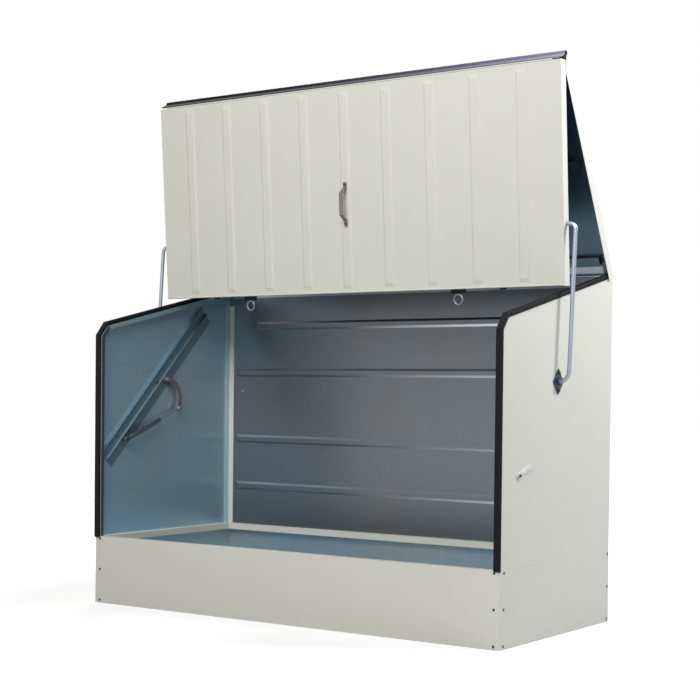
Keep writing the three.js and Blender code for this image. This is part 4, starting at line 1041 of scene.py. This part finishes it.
# %% Bracket bolts, collars, strap bolts and inner rivets
BRACKET_FACE = 4.3 * MM
BRACKET_BOLT_OFFSET = 33 * MM
BRACKET_BOLT = (6.5 * MM, 5 * MM)
COLLAR = (13 * MM, 5 * MM)
STRAP_BOLT_FACE = 7.3 * MM
STRAP_BOLT = (7 * MM, 3.5 * MM)
STRAP_BOLT_INSET = 9 * MM
INNER_RIVET = (6 * MM, 2.5 * MM)
INNER_RIVET_PLACE = (-283 * MM, 1023 * MM)
BRACE_BOLT = (7 * MM, 5 * MM)
BRACE_BOLT_PLACE = (-66 * MM, 935 * MM)
BACK_RIVET_PLACES = ((952 * MM, 1036 * MM), (898 * MM, 904 * MM))

outer_bolts = bmesh.new()
inner_rivets = bmesh.new()
strap_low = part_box("right_arm_keeper")[0]
strap_bolt = (strap_low.y + STRAP_BOLT_INSET, strap_low.z + STRAP_BOLT_INSET)
sheet_inside = wall_outside - SHEET
rear_inside = locker_rear - SHEET
for sign in (-1, 1):
    outwards, inwards = (sign, 0, 0), (-sign, 0, 0)
    bracket_x = sign * (wall_outside + BRACKET_FACE)
    for z in (axle.z - BRACKET_BOLT_OFFSET, axle.z + BRACKET_BOLT_OFFSET):
        bolt_seat = facing((bracket_x, axle.y, z), outwards)
        add_head(outer_bolts, bolt_seat, *BRACKET_BOLT, PRESSED_EDGE, sides=6, steps=2)
    collar_seat = facing((bracket_x, axle.y, axle.z), outwards)
    add_head(outer_bolts, collar_seat, *COLLAR, PRESSED_EDGE, sides=24, steps=2)
    strap_seat = facing((sign * (wall_outside + STRAP_BOLT_FACE), *strap_bolt), outwards)
    add_head(outer_bolts, strap_seat, *STRAP_BOLT, CUT_EDGE, sides=6, steps=1)
    brace_seat = facing((sign * (sheet_inside - BRACE_SHEET - TOUCH_GAP), *BRACE_BOLT_PLACE), inwards)
    add_head(outer_bolts, brace_seat, *BRACE_BOLT, CUT_EDGE, sides=6, steps=2)
    rivet_seats = [facing((sign * sheet_inside, *INNER_RIVET_PLACE), inwards)]
    rivet_seats += [facing((sign * x, rear_inside, z), FORWARDS) for x, z in BACK_RIVET_PLACES]
    for rivet_seat in rivet_seats:
        add_head(inner_rivets, rivet_seat, *INNER_RIVET, PRESSED_EDGE, sides=14, steps=2)
make_piece(outer_bolts, "outer_bolts", "dark_steel", "shell")
make_piece(inner_rivets, "inner_rivets", "zinc_plate", "shell")

# %% [markdown]
# A glossy strip of rubber runs along the front lip of the roof and sheds rain over the door. Its length comes
# from the frame. A round cap closes each end, and rides on the roof with it.

# %% End caps of the weather strip
BEAD_RADIUS = 5 * MM
ROOF_LENGTH = 902 * MM
CAP_RADIUS = 8 * MM
CAP_THICK = 3 * MM
CAP_UP = 6.5 * MM
CAP_AHEAD = 2 * MM

hinge_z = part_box("rear_hinge_rail")[1].z - BEAD_RADIUS
roof_place = Matrix.Translation((0, hinge_y, hinge_z)) @ Matrix.Rotation(-ROOF_OPEN, 4, "X")
strip_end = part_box("weather_strip")[1].x
caps = bmesh.new()
for sign in (-1, 1):
    cap_at = (sign * strip_end, -ROOF_LENGTH - CAP_AHEAD, CAP_UP)
    cap_seat = roof_place @ facing(cap_at, (sign, 0, 0))
    add_head(caps, cap_seat, CAP_RADIUS, CAP_THICK, PRESSED_EDGE, sides=20, steps=2)
make_piece(caps, "strip_end_caps", "black_rubber", "roof")

# %% [markdown]
# The studio is plain: a pale floor, a pale surround and soft lamps. The arm's shadow on the wall falls a
# little ahead of the arm, so the main lamp stands to the right and slightly to the rear. A wide lamp high in
# front lights the door, and the door then shades the inside. The powers of these two were fitted to the
# tones in the photograph, one lamp at a time, since light simply adds up. A third lamp, at the left rear, is
# for views of the back, and is low enough that the open roof's pale upper face doesn't burn out. The floor
# is lit for the camera just up to white, so that only the shadow shows on it.

# %% Floor, surround and lamps
FLOOR_SIZE = 60
FLOOR_BELOW = 0.6 * MM
FLOOR_TONE = (0.5, 0.5, 0.5, 1)
FLOOR_ROUGHNESS = 0.9
FLOOR_LIFT = 0.5
FLOOR_NEAR = 1.4
FLOOR_FAR = 3.2
SURROUND_LIGHT = 0.12
KEY_FROM = Vector((3.0, 1.1, 3.6))
KEY_SIDE = 1.0
KEY_POWER = 154
KEY_TONE = (0.97, 0.985, 1.03)
FILL_FROM = Vector((1.2, -4.4, 4.6))
FILL_SIDE = 3.0
FILL_POWER = 315
FILL_TONE = (1, 1, 1)
BACK_FROM = Vector((-3.4, 4.2, 3.4))
BACK_SIDE = 2.4
BACK_POWER = 120
AIM = Vector((0, 0, 0.9))


def seen_directly(tree):
    """1 for rays from the camera, from a mirror-like surface or through glass, and 0 for diffuse light."""
    rays = put(tree, "ShaderNodeLightPath").outputs
    both = maths(tree, "MAXIMUM", rays["Is Camera Ray"], rays["Is Glossy Ray"])
    return maths(tree, "MAXIMUM", both, rays["Is Transmission Ray"])


def make_floor():
    shape = bmesh.new()
    bmesh.ops.create_grid(shape, x_segments=1, y_segments=1, size=FLOOR_SIZE / 2)
    bmesh.ops.translate(shape, verts=shape.verts, vec=(0, 0, -FLOOR_BELOW))
    mesh = bpy.data.meshes.new("studio_floor")
    shape.to_mesh(mesh)
    shape.free()
    floor = bpy.data.objects.new("studio_floor", mesh)
    bpy.context.scene.collection.objects.link(floor)
    material, tree, surface = bare_material("studio floor", roughness=FLOOR_ROUGHNESS)
    surface["Base Color"].default_value = FLOOR_TONE
    place = own_place(tree)["Object"]
    distance = put(tree, "ShaderNodeVectorMath", {0: place}, operation="LENGTH").outputs["Value"]
    lit = ranged(tree, distance, FLOOR_NEAR, FLOOR_FAR, low=FLOOR_LIFT)
    lift = maths(tree, "MULTIPLY", seen_directly(tree), lit)
    tree.links.new(lift, surface["Emission Strength"])
    surface["Emission Color"].default_value = (1, 1, 1, 1)
    mesh.materials.append(material)


def make_surround():
    world = bpy.data.worlds.new("studio surround")
    bpy.context.scene.world = world
    world.use_nodes = True
    tree = world.node_tree
    light = blend_of(tree, seen_directly(tree), SURROUND_LIGHT, 1.0)
    background = tree.nodes["Background"]
    background.inputs["Color"].default_value = (1, 1, 1, 1)
    tree.links.new(light, background.inputs["Strength"])


def add_lamp(name, at, side, power, tone):
    light = bpy.data.lights.new(name, "AREA")
    light.size = side
    light.energy = power
    light.color = tone
    lamp = bpy.data.objects.new(name, light)
    lamp.matrix_world = Matrix.Translation(at) @ (AIM - at).to_track_quat("-Z", "Y").to_matrix().to_4x4()
    bpy.context.scene.collection.objects.link(lamp)


make_floor()
make_surround()
add_lamp("key lamp", KEY_FROM, KEY_SIDE, KEY_POWER, KEY_TONE)
add_lamp("fill lamp", FILL_FROM, FILL_SIDE, FILL_POWER, FILL_TONE)
add_lamp("back lamp", BACK_FROM, BACK_SIDE, BACK_POWER, FILL_TONE)
bpy.context.scene.view_settings.view_transform = "Standard"
print("studio ready")
